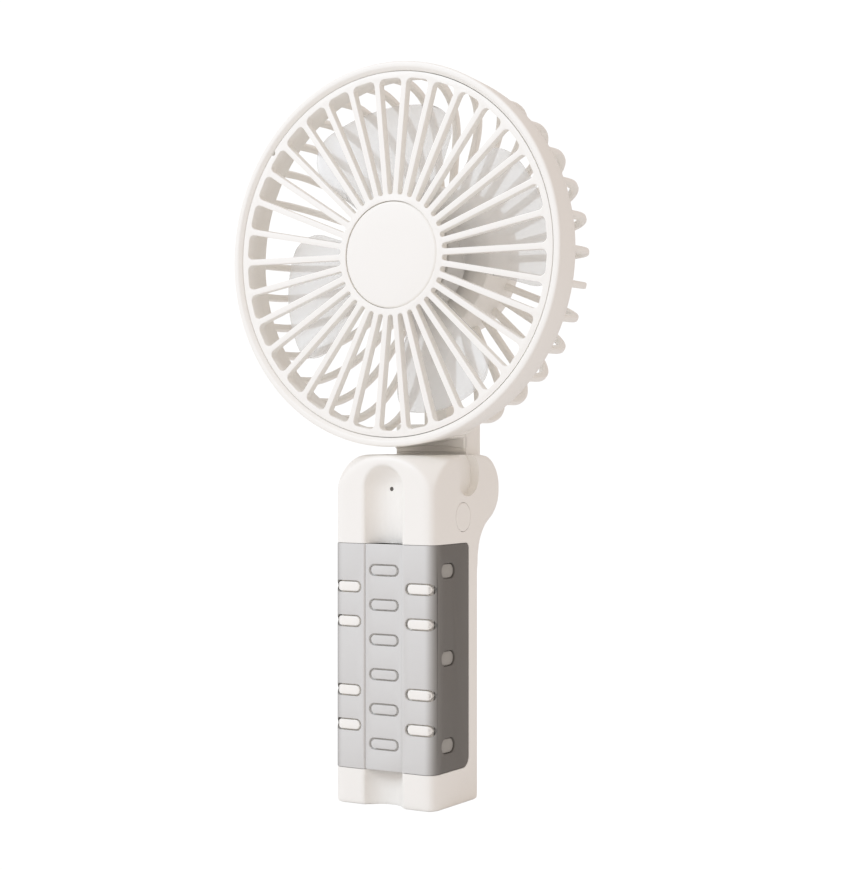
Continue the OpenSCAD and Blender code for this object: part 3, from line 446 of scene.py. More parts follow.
def finish_of(name, color, shade, roughness, drift=60, grain=2500, bump=0.03, spread=0.08, **sockets):
    """A material whose colour, roughness and grain come from the moulded surface group."""
    material = bpy.data.materials.new(name)
    material.use_nodes = True
    nodes = material.node_tree.nodes
    link = material.node_tree.links.new
    shader = nodes["Principled BSDF"]
    group = nodes.new("ShaderNodeGroup")
    group.node_tree = MOULDED
    group.inputs["Color"].default_value = (*color, 1)
    group.inputs["Shade"].default_value = (*shade, 1)
    group.inputs["Drift size"].default_value = drift
    group.inputs["Grain size"].default_value = grain
    group.inputs["Roughness"].default_value = roughness
    group.inputs["Roughness drift"].default_value = spread
    relief = nodes.new("ShaderNodeBump")
    relief.inputs["Strength"].default_value = bump
    relief.inputs["Distance"].default_value = 0.1 * MM
    link(group.outputs["Color"], shader.inputs["Base Color"])
    link(group.outputs["Roughness"], shader.inputs["Roughness"])
    link(group.outputs["Height"], relief.inputs["Height"])
    link(relief.outputs["Normal"], shader.inputs["Normal"])
    for socket, value in sockets.items():
        shader.inputs[socket.replace("_", " ")].default_value = value
    return material


# ---------- materials ----------

def cream_plastic():
    return finish_of("cream_plastic", (0.955, 0.932, 0.88), (0.945, 0.917, 0.86), 0.42, IOR=1.46)


def grip_silicone():
    """Light warm grey silicone in front, with painted shade that turns it dark warm grey round the corners
    and along the sides towards the rear.
    """
    material = finish_of("grip_silicone", (0.725, 0.715, 0.69), (0.69, 0.68, 0.655), 0.55,
                         grain=4000, bump=0.06, IOR=1.42)
    # Painted shade: a smoothstep mask by distance from the middle, growing towards the rear, blends the
    # colour to a dark warm grey on the sides.
    shade_slope = 0.35
    nodes = material.node_tree.nodes
    link = material.node_tree.links.new
    shader = nodes["Principled BSDF"]
    group = next(n for n in nodes if n.type == "GROUP")
    place = nodes.new("ShaderNodeTexCoord")
    axes = nodes.new("ShaderNodeSeparateXYZ")
    away = nodes.new("ShaderNodeMath")
    away.operation = "ABSOLUTE"
    side = nodes.new("ShaderNodeMapRange")
    side.interpolation_type = "SMOOTHSTEP"
    side.inputs["From Min"].default_value = grip_high.x - 3.2 * MM
    side.inputs["From Max"].default_value = grip_high.x + 1.9 * MM
    back = nodes.new("ShaderNodeMath")
    back.operation = "MULTIPLY_ADD"
    back.inputs[1].default_value = shade_slope
    reach = nodes.new("ShaderNodeMath")
    reach.operation = "ADD"
    reach.inputs[1].default_value = -shade_slope * grip_low.y
    tone = nodes.new("ShaderNodeMix")
    tone.data_type = "RGBA"
    # the dark warm grey of the painted shade on the sides
    tone.inputs["B"].default_value = (0.165, 0.155, 0.14, 1)
    link(place.outputs["Object"], axes.inputs[0])
    link(axes.outputs["X"], away.inputs[0])
    link(axes.outputs["Y"], back.inputs[0])
    link(away.outputs[0], back.inputs[2])
    link(back.outputs[0], reach.inputs[0])
    link(reach.outputs[0], side.inputs["Value"])
    link(side.outputs["Result"], tone.inputs["Factor"])
    link(group.outputs["Color"], tone.inputs["A"])
    link(tone.outputs["Result"], shader.inputs["Base Color"])
    return material


# Grey silicone for the side studs, partly painted shade: darker than the grip's silicone to stand in for the
# shade on the handle's sides and in the holes.
def stud_silicone_and_shade():
    return finish_of("stud_silicone_and_shade", (0.40, 0.385, 0.35), (0.36, 0.345, 0.315), 0.5,
                     grain=4000, bump=0.06, IOR=1.42)


def blade_plastic():
    return finish_of("blade_plastic", (0.93, 0.925, 0.91), (0.90, 0.895, 0.88), 0.28, Alpha=0.42, IOR=1.49)


# Painted shade: an opaque copy of the blade plastic in a darker grey, standing in for the shade on the hub
# behind the grille's cap.
def hub_plastic_painted_shade():
    return finish_of("hub_plastic_painted_shade", (0.70, 0.69, 0.66), (0.66, 0.65, 0.62), 0.35, IOR=1.49)


def steel():
    return finish_of("steel", (0.56, 0.56, 0.57), (0.46, 0.46, 0.47), 0.28, drift=900, Metallic=1.0)


def laminated_steel():
    return finish_of("laminated_steel", (0.35, 0.35, 0.36), (0.24, 0.24, 0.25), 0.45,
                     drift=1500, bump=0.2, Metallic=1.0)


def copper():
    return finish_of("copper", (0.72, 0.36, 0.18), (0.55, 0.24, 0.11), 0.3, drift=700, Metallic=1.0)


def bronze():
    return finish_of("bronze", (0.60, 0.42, 0.20), (0.48, 0.32, 0.15), 0.45,
                     drift=900, bump=0.15, Metallic=1.0)


def magnet_ferrite():
    return finish_of("magnet_ferrite", (0.045, 0.045, 0.05), (0.03, 0.03, 0.032), 0.6, drift=1200, bump=0.2)


def motor_plastic():
    return finish_of("motor_plastic", (0.72, 0.71, 0.66), (0.66, 0.65, 0.60), 0.5)


def board_laminate():
    return finish_of("board_laminate", (0.02, 0.14, 0.055), (0.015, 0.10, 0.04), 0.35, drift=800)


def chip_black():
    return finish_of("chip_black", (0.02, 0.02, 0.022), (0.03, 0.03, 0.032), 0.5, drift=1500, bump=0.1)


def clear_plastic():
    """The light pipe's clear plastic, painted near-black: painted shade for the dark inside of the pipe while
    its light is off.
    """
    return finish_of("clear_plastic", (0.14, 0.13, 0.12), (0.11, 0.10, 0.09), 0.15, Alpha=0.9)


def cell_foil():
    return finish_of("cell_foil", (0.62, 0.64, 0.66), (0.50, 0.52, 0.54), 0.35,
                     drift=300, bump=0.25, Metallic=1.0)


def foam():
    return finish_of("foam", (0.03, 0.03, 0.033), (0.015, 0.015, 0.017), 0.95, drift=2500, bump=0.6)


def wire_red():
    return finish_of("wire_red", (0.42, 0.02, 0.015), (0.34, 0.015, 0.012), 0.4, drift=900)


def wire_black():
    return finish_of("wire_black", (0.02, 0.02, 0.022), (0.03, 0.03, 0.032), 0.45, drift=900)


MATERIALS = {make.__name__: make() for make in (
    cream_plastic, grip_silicone, blade_plastic, steel, laminated_steel, copper, bronze, magnet_ferrite,
    motor_plastic, board_laminate, chip_black, clear_plastic, cell_foil, foam, wire_red, wire_black)}
CREAM = MATERIALS["cream_plastic"]


def dress_cad_nodes():
    """Gives each CAD node the material of its slot in the record."""
    for part in frame["record"]["subparts"]:
        mesh = frame["nodes"][part["node"]].data
        mesh.materials.clear()
        mesh.materials.append(MATERIALS[part["material_slot"]])


# ---------- head ----------

def make_drum():
    """The outer ring, with a rounded lip, a chamfer inside it and a slight taper."""
    inner = GRILLE_R + SEAM
    edge, taper = 0.4 * MM, 0.8 * MM
    drum = lathe("head_ring", [
        (inner + LIP_CHAMFER, 0), (HEAD_R - edge, 0), (HEAD_R, edge), (HEAD_R - taper, DRUM_DEPTH),
        (inner, DRUM_DEPTH), (inner, LIP_CHAMFER)])
    soften(drum, 0.3 * MM, angle=25)
    return hand_in(drum, "head", CREAM, ["drum_shell"])


def grille_slot():
    """One opening between two spokes, wedge shaped with rounded ends, as a cutting tool."""
    spoke = 1.6 * MM
    inner, outer = 16.4 * MM, GRILLE_R - 1.75 * MM
    half = RIB_PITCH / 2
    over = 1 * MM

    def width(radius):
        return radius * math.tan(half) - spoke / 2 / math.cos(half)

    corners = [(inner, -width(inner)), (outer, -width(outer)), (outer, width(outer)), (inner, width(inner))]
    tool = outline("slot_tool", [LIP + Vector((x, GRILLE_SET - over, z)) for x, z in corners])
    bpy.ops.mesh.edge_face_add()
    close()
    for radius, rounding in ((outer, 1.7 * MM), (inner, 0.62 * MM)):
        pick(tool, "VERT", lambda p: abs(p.x - LIP.x - radius) < 0.01 * MM)
        bpy.ops.mesh.bevel(offset=rounding, segments=6, affect="VERTICES")
        close()
    edit(tool)
    select_all()
    push_out((0, 6 * MM, 0))
    turn_outward()
    bpy.ops.transform.rotate(value=half, orient_axis="Y", center_override=LIP)
    close()
    return repeat_round(tool, RIBS, RIB_PITCH)


def make_grille():
    """The front grille: a disc with 34 wedge slots, a skirt behind its rim and a seat for the cap."""
    back = GRILLE_SET + GRILLE_T
    grille = rod("front_guard", GRILLE_R, on_head(0, GRILLE_SET), on_head(0, back), sides=ROUND_SIDES)
    pick_normals(grille, lambda n, c: n.y > 0.9)
    bpy.ops.mesh.inset(thickness=1.3 * MM)
    close()
    pick_normals(grille, lambda n, c: n.y > 0.9 and (c - on_head(0, back)).length > GRILLE_R / 2)
    push_out((0, SKIRT_END - back, 0))
    close()
    seat = rod("seat_tool", CAP_R + 0.12 * MM, on_head(0, -MM), on_head(0, GRILLE_SET + 1.4 * MM),
               sides=ROUND_SIDES)
    place = on_head(GRILLE_R, 0, math.radians(142))
    notch = rod("notch_tool", 0.75 * MM, place - Vector((0, MM, 0)), place + Vector((0, 2.2 * MM, 0)),
                sides=24)
    carve(grille, join("grille_tools", [grille_slot(), seat, notch]))
    weld(grille, rod("hub_back", 16.1 * MM, on_head(0, back - 0.2 * MM), on_head(0, back + 0.8 * MM),
                     sides=ROUND_SIDES))
    round_edges(grille, 0.38 * MM, 3, lambda p: abs(p.y - LIP.y - GRILLE_SET) < 0.01 * MM)
    return hand_in(grille, "head", CREAM, ["front_grille"])


def make_cap():
    """The round cap in the middle of the grille, faintly domed."""
    front, back = cap_low.y - LIP.y, cap_high.y - LIP.y
    dome = 0.1 * MM
    cap = lathe("centre_cap", [
        (0, front), (CAP_R * 0.55, front), (CAP_R - 0.5 * MM, front + dome),
        (CAP_R, front + dome + 0.35 * MM), (CAP_R, back), (0, back)])
    soften(cap, 0.2 * MM, angle=20)
    return hand_in(cap, "head", CREAM, ["grille_cap"])


def cage_rib():
    """One rib of the rear cage: a bent strip with rounded edges."""
    start, end = DRUM_DEPTH - 0.3 * MM, POD_R - 0.6 * MM
    bend = CAGE_REAR - CAGE_ROUND
    centre = (CAGE_R - CAGE_ROUND, bend)
    section = [(CAGE_R, start)] + arc(centre, CAGE_ROUND, 0, 90, 14) + [(end, CAGE_REAR)]
    section += [(end, CAGE_REAR - RIB_DEEP)] + arc(centre, CAGE_ROUND - RIB_DEEP, 90, 0, 14)
    section += [(CAGE_R - RIB_DEEP, start)]
    rib = slab("cage_rib", [on_head(r, d) - Vector((0, 0, RIB_T / 2)) for r, d in section], (0, 0, RIB_T))
    return soften(rib, 0.6 * MM, segments=3, angle=40)


def make_rear_cage():
    """The rear moulding: ribs, their front ring, the motor housing, the neck and the hinge barrel."""
    ribs = repeat_round(cage_rib(), RIBS, RIB_PITCH, skip=(25, 26))
    ring_out, ring_in = GRILLE_R + SEAM - 0.05 * MM, CAGE_R - RIB_DEEP
    ring_end = DRUM_DEPTH + 0.4 * MM
    ring = lathe("cage_ring", [
        (ring_in, SKIRT_END), (ring_out, SKIRT_END), (ring_out, ring_end), (ring_in, ring_end)])
    soften(ring, 0.3 * MM)
    hole = 2.8 * MM
    back = cage_high.y - LIP.y
    pod = lathe("motor_pod", [
        (hole, POD_FRONT), (POD_R, POD_FRONT), (POD_R, back), (POD_R - POD_WALL, back),
        (POD_R - POD_WALL, POD_FRONT + POD_WALL), (hole, POD_FRONT + POD_WALL)])
    soften(pod, 0.6 * MM, angle=40)
    cage = join("rear_cage_moulding", [ribs, ring, pod, make_neck()])
    return hand_in(cage, "head", CREAM, ["rear_cage"])


def make_neck():
    """The neck block with its barrel halves, the saddle and brow under the drum, and the arm to the motor."""
    seam = cover_low.y
    neck = block("neck", (-NECK_HALF, NECK_FRONT, HINGE.z), (NECK_HALF, seam, NECK_TOP))
    arm = block("arm", (-ARM_HALF, LIP.y + 25 * MM, NECK_TOP - MM),
                (ARM_HALF, seam, LIP.z - POD_R + 0.8 * MM))
    weld(neck, arm)
    for side in (-1, 1):
        carve(neck, block("side_tool", (side * BARREL_HALF, NECK_FRONT - MM, HINGE.z - 9 * MM),
                          (side * 20 * MM, seam + MM, HINGE.z + BARREL_R + 0.5 * MM)))
    weld(neck, rod("barrel", BARREL_R, (-BARREL_HALF, HINGE.y, HINGE.z), (BARREL_HALF, HINGE.y, HINGE.z)))
    carve(neck, block("wire_tool", (-3 * MM, HINGE.y - 13 * MM, HINGE.z - 8 * MM),
                      (3 * MM, HINGE.y + 13 * MM, HINGE.z + 4.2 * MM)))
    carve(neck, block("channel_tool", (-5.4 * MM, NECK_FRONT + 1.8 * MM, HINGE.z + BARREL_R),
                      (5.4 * MM, seam + MM, NECK_TOP - 1.5 * MM)))
    soften(neck, 0.5 * MM)
    return join("neck", [neck, make_saddle(), *make_brow()])


def make_saddle():
    """The curved plate of the neck that lies under the cage."""
    inner = CAGE_R - 1.8 * MM
    front, back = DRUM_DEPTH - 0.3 * MM, cover_low.y - LIP.y
    saddle = outline("saddle", [on_head(r, d, -math.pi / 2) for r, d in (
        (inner, front), (CAGE_R, front), (CAGE_R, back), (inner, back))])
    bpy.ops.mesh.edge_face_add()
    spread = math.asin(NECK_HALF / CAGE_R)
    bpy.ops.transform.rotate(value=spread, orient_axis="Y", center_override=LIP)
    bpy.ops.mesh.spin(steps=16, angle=-2 * spread, center=LIP, axis=(0, 1, 0))
    turn_outward()
    return soften(close(saddle), 0.3 * MM, angle=40)


def make_brow():
    """The arched lip on the neck's front and the flat chin just behind it."""
    head_low = LIP.z - HEAD_R
    back = NECK_FRONT + 0.6 * MM
    brow = block("brow", (-NECK_HALF, NECK_FRONT - 1.0 * MM, head_low - 0.6 * MM),
                 (NECK_HALF, back, head_low + 3.2 * MM))
    under = 70 * MM
    low = head_low + 0.2 * MM - under
    carve(brow, rod("brow_tool", under, (0, LIP.y, low), (0, NECK_FRONT + 5 * MM, low), sides=400))
    soften(brow, 0.4 * MM, angle=40)
    chin_half = NECK_HALF - 0.2 * MM
    chin = block("chin", (-chin_half, NECK_FRONT - 0.5 * MM, TOP + 0.7 * MM),
                 (chin_half, back, head_low + 2 * MM))
    return brow, soften(chin, 0.3 * MM, angle=40)


def make_neck_cover():
    """The rear half of the neck, with softened edges and two screw seats."""
    half = NECK_HALF
    seam, back = cover_low.y, cover_high.y
    cover = block("neck_back", (-half, seam, HINGE.z + 2 * MM), (half, back, NECK_TOP))
    weld(cover, block("arm_back", (-ARM_HALF, seam, NECK_TOP - MM), (ARM_HALF, back, cover_high.z)))
    carve(cover, rod("barrel_tool", BARREL_R + 0.15 * MM,
                     (-half - MM, HINGE.y, HINGE.z), (half + MM, HINGE.y, HINGE.z)))
    for side in (-1, 1):
        carve(cover, block("side_tool", (side * BARREL_HALF, seam - MM, HINGE.z - MM),
                           (side * 20 * MM, back + MM, HINGE.z + BARREL_R + 0.5 * MM)))
        x, z = side * (half - 3 * MM), NECK_TOP - 4.6 * MM
        carve(cover, rod("seat_tool", 1.7 * MM, (x, back - 1.2 * MM, z), (x, back + MM, z), sides=40))
    soften(cover, 0.4 * MM, angle=35)
    return hand_in(cover, "head", CREAM, ["neck_cover"])


def make_pod_cover():
    """The cover disc of the motor housing, shallowly dished, with a stepped rim."""
    radius = pod_high.x
    front, back = POD_FRONT + 14 * MM, pod_high.y - LIP.y
    skirt, inside = radius - 1.4 * MM, back - 1.9 * MM
    cover = lathe("pod_cover", [
        (0, inside), (skirt, inside), (skirt, front), (radius, front), (radius, back),
        (radius - 2.2 * MM, back), (radius - 3.0 * MM, back - 0.5 * MM), (0, back - 0.8 * MM)])
    soften(cover, 0.3 * MM, angle=25)
    return hand_in(cover, "head", CREAM, ["motor_cover"])


def blade_outline(root, tip, span, leading, trailing):
    """A blade drawn flat along +X: a sector whose outer corners are rounded, more at its leading edge."""
    points = [(root * math.cos(t), root * math.sin(t)) for t in (span * (0.5 - i / 12) for i in range(13))]
    for sign, rounding in ((-1, trailing), (1, leading)):
        reach = tip - rounding
        turn = span / 2 - math.asin(rounding / reach)
        centre = (reach * math.cos(turn), sign * reach * math.sin(turn))
        corner = arc(centre, rounding, -90 - math.degrees(span) / 2, -math.degrees(turn), 10)
        if sign > 0:
            corner = [(x, 2 * centre[1] - z) for x, z in reversed(corner)]
        points += corner
        if sign < 0:
            other = span / 2 - math.asin(leading / (tip - leading))
            points += [(tip * math.cos(t), tip * math.sin(t))
                       for t in (-turn + (other + turn) * i / 16 for i in range(1, 16))]
    return points


def make_blade():
    """One flat blade, cut into strips so that it can twist, given its wall and leant."""
    root, tip = HUB_R - 1 * MM, impeller_high.x - 0.1 * MM
    shape = blade_outline(root, tip, math.radians(BLADE_SPAN), 9 * MM, 7 * MM)
    blade = outline("blade", [Vector((x, 0, z)) for x, z in shape])
    bpy.ops.mesh.edge_face_add()
    for i in range(1, 14):
        select_all()
        bpy.ops.mesh.bisect(plane_co=(root + (tip - root) * i / 14, 0, 0), plane_no=(1, 0, 0))
    for i in range(-4, 5):
        select_all()
        bpy.ops.mesh.bisect(plane_co=(0, 0, 4.4 * MM * i), plane_no=(0, 0, 1))
    close()
    change(blade, "SIMPLE_DEFORM", deform_method="TWIST", deform_axis="X", angle=math.radians(BLADE_TWIST))
    change(blade, "SOLIDIFY", thickness=BLADE_T, offset=0)
    edit(blade)
    turn_outward()
    bpy.ops.transform.rotate(value=math.radians(-BLADE_LEAN), orient_axis="X", center_override=(0, 0, 0))
    bpy.ops.transform.translate(value=on_head(0, HUB_FRONT + HUB_LEN / 2 + 0.8 * MM))
    bpy.ops.transform.rotate(value=math.radians(BLADE_START), orient_axis="Y", center_override=LIP)
    close()
    return soften(blade, 0.3 * MM, segments=2, angle=60, clamp=False)


def make_impeller():
    """Four twisted blades with rounded tips on a hollow hub."""
    blades = repeat_round(make_blade(), BLADES, 2 * math.pi / BLADES)
    wall, face, bore, boss = 1.5 * MM, 1.6 * MM, 1 * MM, 3 * MM
    back = HUB_FRONT + HUB_LEN
    hub = lathe("hub", [
        (bore, HUB_FRONT), (HUB_R, HUB_FRONT), (HUB_R, back), (HUB_R - wall, back),
        (HUB_R - wall, HUB_FRONT + face), (boss, HUB_FRONT + face), (boss, back), (bore, back)])
    soften(hub, 0.5 * MM, angle=40)
    hand_in(hub, "rotor", hub_plastic_painted_shade())
    blades.name = "impeller_blades"
    return hand_in(blades, "rotor", MATERIALS["blade_plastic"], ["impeller"], smooth=40)


# ---------- handle ----------

def front_path(inset, rear):
    """The handle's plan from one side at the depth rear, round the front and groove, to the other side."""
    side, face = HALF_W - inset, FRONT + inset
    corner = max(FRONT_CORNER - inset, 0.5 * MM)
    groove = GROOVE_R + inset
    edge = math.sqrt(groove ** 2 - (face - GROOVE_Y) ** 2)
    turn = math.degrees(math.atan2(face - GROOVE_Y, edge))
    right = [(edge, face)] + arc((side - corner, face + corner), corner, -90, 0, 16) + [(side, rear)]
    left = [(-x, y) for x, y in reversed(right)]
    return left + arc((0, GROOVE_Y), groove, 180 - turn, turn, 22)[1:-1] + right


def wrap(name, outer, inner, low, high, rear):
    """A band that lies round the handle's front and sides between two plan outlines."""
    path = front_path(outer, rear)
    path += list(reversed(front_path(inner, rear)))
    return slab(name, [(x, y, low) for x, y in path], (0, 0, high - low))


def round_rear_corners(piece, low, high, rear):
    """Rounds a band's lower and upper rear corners as seen from the side."""
    for z, rounding in ((low, GRIP_LOW_R), (high, GRIP_TOP_R)):
        round_edges(piece, rounding, 8, lambda p: abs(p.y - rear) < 0.01 * MM and abs(p.z - z) < 0.01 * MM)
    return piece


def long_hole(name, width, height, z, y_from, y_to, x=0.0):
    """A long tool with round ends that runs along +Y."""
    flat = (width - height) / 2
    ends = arc((x - flat, z), height / 2, 90, 270, 10) + arc((x + flat, z), height / 2, -90, 90, 10)
    return slab(name, [(a, y_from, b) for a, b in ends], (0, y_to - y_from, 0))


def other_side(piece):
    """A copy of a piece on the other side of the middle plane."""
    take(piece)
    bpy.ops.object.duplicate()
    other = bpy.context.object
    edit(other)
    select_all()
    bpy.ops.transform.mirror(constraint_axis=(True, False, False), center_override=(0, 0, 0))
    turn_outward()
    return close(other)


def mirrored(piece, name):
    """A piece joined to its own mirror image."""
    return join(name, [piece, other_side(piece)])


def slot_tools(name, shrink):
    """The long bars with round ends that fill the slots beside the front corners, on both sides."""
    inner, outer = SLOT_INNER - 0.4 * MM + 1.8 * shrink, HALF_W - 0.1 * MM - 2.6 * shrink
    bars = [long_hole(name, outer - inner, SLOT_H + 0.1 * MM - 2 * shrink, GRIP_MID + row * ROW_PITCH,
                      FRONT - MM, FRONT + SLOT_WRAP, x=(inner + outer) / 2) for row in (-2, -1, 1, 2)]
    return mirrored(join(name, bars), name)


def side_pills(name, shrink, sink):
    """The long bars with round ends that fill the holes in the grip's sides."""
    bars = []
    for row in (-2.5, 0, 2.5):
        bar = long_hole(name, STUD_LEN - 2 * shrink, 2 * (STUD_R - shrink), 0, 0, SIDE_HOLE_DEPTH - sink)
        edit(bar)
        select_all()
        bpy.ops.transform.rotate(value=math.pi / 2, orient_axis="Z", center_override=(0, 0, 0))
        bpy.ops.transform.translate(
            value=(HALF_W - SIDE_HOLE_DEPTH, FRONT + STUD_Y, GRIP_MID + row * ROW_PITCH))
        bars.append(close(bar))
    return mirrored(join(name, bars), name)


def grip_strip():
    """The strip of the grip that fills the groove, set back a little from the front."""
    edge = math.sqrt(GROOVE_R ** 2 - (STRIP_Y - GROOVE_Y) ** 2) - 0.02 * MM
    turn = math.degrees(math.atan2(STRIP_Y - GROOVE_Y, edge))
    points = [(-edge, STRIP_Y), (edge, STRIP_Y)]
    points += arc((0, GROOVE_Y), GROOVE_R + 0.05 * MM, turn, 180 - turn, 16)[1:-1]
    return slab("strip", [(x, y, grip_low.z) for x, y in points], (0, 0, grip_high.z - grip_low.z))


def make_grip():
    """The soft grip: a band round the handle with slots, side holes and long pockets in its middle strip."""
    low, high, rear = grip_low.z, grip_high.z, grip_high.y
    grip = wrap("soft_grip", 0, GRIP_T, low, high, rear)
    round_rear_corners(grip, low, high, rear)
    weld(grip, grip_strip())
    pill_w, pill_h = POCKET_W - 1.4 * MM, POCKET_H - 0.9 * MM
    pockets = []
    for row in (-2.5, -1.5, -0.5, 0.5, 1.5, 2.5):
        z = GRIP_MID + row * ROW_PITCH
        ring = long_hole("pocket_ring", POCKET_W, POCKET_H, z, FRONT - MM, STRIP_Y + 1.1 * MM)
        carve(ring, long_hole("pill", pill_w, pill_h, z, FRONT - 2 * MM, STRIP_Y + 2 * MM))
        pockets.append(ring)
    for tool in (join("pockets", pockets), slot_tools("slots", 0), side_pills("holes", 0, -MM)):
        carve(grip, tool)
    soften(grip, 0.16 * MM, segments=2, angle=35, clamp=False)
    return hand_in(grip, "handle", MATERIALS["grip_silicone"], ["grip_sleeve"])


def shoulder_tool():
    """What is shaved off a top front corner: everything outside a quarter of an ellipse."""
    cut, drop = SHOULDER_CUT, SHOULDER_DROP
    over, under, outside = TOP + 4 * MM, TOP - drop - 3 * MM, 8 * MM
    steps = 14
    turns = [math.pi / 2 * i / steps for i in range(steps + 1)]
    curve = [(-cut * (1 - math.cos(t)), TOP - drop * (1 - math.sin(t))) for t in turns]
    edge = curve + [(-cut, over), (outside, over), (outside, under), (0, under)]
    out = Vector((1, -1, 0)).normalized()
    along = Vector((1, 1, 0)).normalized() * 30 * MM
    corner = Vector((HALF_W - 0.6 * MM, FRONT + 0.6 * MM, 0)) + out * 0.1 * MM
    return slab("shoulder_tool", [corner + out * d - along + Vector((0, 0, z)) for d, z in edge], 2 * along)


def knuckle_slab():
    """The knuckle behind the handle's top and the curve that sweeps up to it, with rounded sides."""
    back = BACK - 4 * MM
    hinge = (HINGE.y, HINGE.z)
    lean = math.degrees(math.atan2(hinge[1] - FILLET_Z, hinge[0] - FILLET_Y))
    sweep = arc((FILLET_Y, FILLET_Z), FILLET_R, 180, lean, 14)
    sweep[0] = (BACK, FILLET_Z)
    points = [(back, FILLET_Z - 2 * MM), (BACK, FILLET_Z - 2 * MM)] + sweep
    points += arc(hinge, KNUCKLE_R, lean - 180, 90, 30)[1:] + [(back, TOP)]
    return slab("knuckle", [(-HALF_W, y, z) for y, z in points], (2 * HALF_W, 0, 0))


def strap_notch():
    """The crescent cut into the right side for a strap, with its deeper round pocket."""
    y, z = 6.2 * MM, TOP - 5.3 * MM
    deep = HALF_W - 2.7 * MM
    notch = rod("notch_tool", 6.1 * MM, (deep, y, z), (HALF_W + MM, y, z), sides=72)
    carve(notch, rod("post_tool", 6.3 * MM, (deep - MM, -3.9 * MM, TOP - 5.5 * MM),
                     (HALF_W + 2 * MM, -3.9 * MM, TOP - 5.5 * MM), sides=72))
    pocket = rod("pocket_tool", 1.6 * MM, (HALF_W - 4.0 * MM, 4.4 * MM, TOP - 8.6 * MM),
                 (HALF_W - 2.6 * MM, 4.4 * MM, TOP - 8.6 * MM), sides=40)
    return join("notch_tools", [notch, pocket])


def blended(piece, rounds):
    """Turns a piece into one even skin and smooths it, which rounds every edge and corner softly."""
    change(piece, "REMESH", mode="VOXEL", voxel_size=SKIN)
    return change(piece, "SMOOTH", factor=0.5, iterations=rounds)


def handle_blank():
    """The handle's outer form: a rounded bar with its finger groove, shaved shoulders and knuckle."""
    corner, rear = FRONT_CORNER, 1.2 * MM
    plan = arc((HALF_W - corner, FRONT + corner), corner, -90, 0, 8)
    plan += arc((HALF_W - rear, BACK - rear), rear, 0, 90, 6)
    plan += [(-x, y) for x, y in reversed(plan)]
    height = TOP - handle_low.z
    blank = slab("handle_shell", [(x, y, handle_low.z) for x, y in plan], (0, 0, height))
    shoulder = shoulder_tool()
    for tool in (other_side(shoulder), shoulder):
        carve(blank, tool)
    weld(blank, knuckle_slab())
    blended(blank, 16)
    groove = rod("groove_tool", GROOVE_R, (0, GROOVE_Y, -2 * MM), (0, GROOVE_Y, GROOVE_END), sides=96)
    clear_selection()
    bpy.ops.mesh.primitive_uv_sphere_add(
        segments=96, ring_count=48, radius=GROOVE_R, location=(0, GROOVE_Y, GROOVE_END))
    ball = bpy.context.object
    place_in_mesh(ball)
    carve(blank, weld(groove, ball))
    return blended(blank, 2)


def recess_tool():
    """The shallow bed that the grip lies in, a little larger all round than the grip."""
    gap = 0.12 * MM
    low, high, rear = grip_low.z - gap, grip_high.z + gap, grip_high.y + gap
    bed = wrap("recess_tool", -1.5 * MM, GRIP_T + 0.02 * MM, low, high, rear)
    return round_rear_corners(bed, low, high, rear)


def make_pads():
    """The raised pads of the handle that show through the grip's slots."""
    pads = slot_tools("pads", PAD_GAP)
    limit = wrap("pad_limit", 0.15 * MM, GRIP_T + 0.3 * MM, grip_low.z, grip_high.z, grip_high.y)
    carve(pads, limit, "INTERSECT")
    return soften(pads, 0.3 * MM, segments=3, angle=40, clamp=False)


def make_studs():
    """The long studs in the grip's sides, set a little below its surface."""
    studs = side_pills("side_studs", PAD_GAP / 2, STUD_SET)
    soften(studs, 0.25 * MM, segments=3, angle=40, clamp=False)
    return hand_in(studs, "handle", stud_silicone_and_shade())


def make_handle():
    """The handle shell with the grip's bed, hinge slot, strap notch, port, pads and holes."""
    shell = handle_blank()
    cheek = cover_high.x + 0.35 * MM
    pocket_r = BARREL_R + 0.5 * MM
    button_y, button_z = (button_low.y + button_high.y) / 2, (button_low.z + button_high.z) / 2
    led_z = GROOVE_END - 0.4 * MM
    port = long_hole("port_tool", 9.2 * MM, 3.56 * MM, 0, -MM, 7 * MM)
    edit(port)
    select_all()
    bpy.ops.transform.rotate(value=-math.pi / 2, orient_axis="X", center_override=(0, 0, 0))
    bpy.ops.transform.translate(value=(0, 4 * MM, 0))
    close()
    hinge = rod("hinge_tool", pocket_r, (-cheek, HINGE.y, HINGE.z), (cheek, HINGE.y, HINGE.z), sides=72)
    weld(hinge, block("slot_tool", (-cheek, LIP.y + 22.05 * MM, HINGE.z - pocket_r),
                      (cheek, HINGE.y + 20 * MM, TOP + 5 * MM)))
    panel = block("panel_tool", (-panel_high.x - 0.12 * MM, panel_low.y + 0.4 * MM, panel_low.z - 0.12 * MM),
                  (panel_high.x + 0.12 * MM, BACK + MM, FILLET_Z + 3 * MM))
    button = rod("button_tool", BUTTON_R + 0.12 * MM, (HALF_W - 1.5 * MM, button_y, button_z),
                 (HALF_W + MM, button_y, button_z))
    light = rod("light_tool", 0.6 * MM, (0, FRONT - MM, led_z), (0, GROOVE_FLOOR + 1.2 * MM, led_z), sides=32)
    for tool in (recess_tool(), hinge, panel, strap_notch(), button, light, port):
        carve(shell, tool)
    shell = join("handle_shell", [shell, make_pads()])
    return hand_in(shell, "handle", CREAM, ["handle_body"], smooth=30)


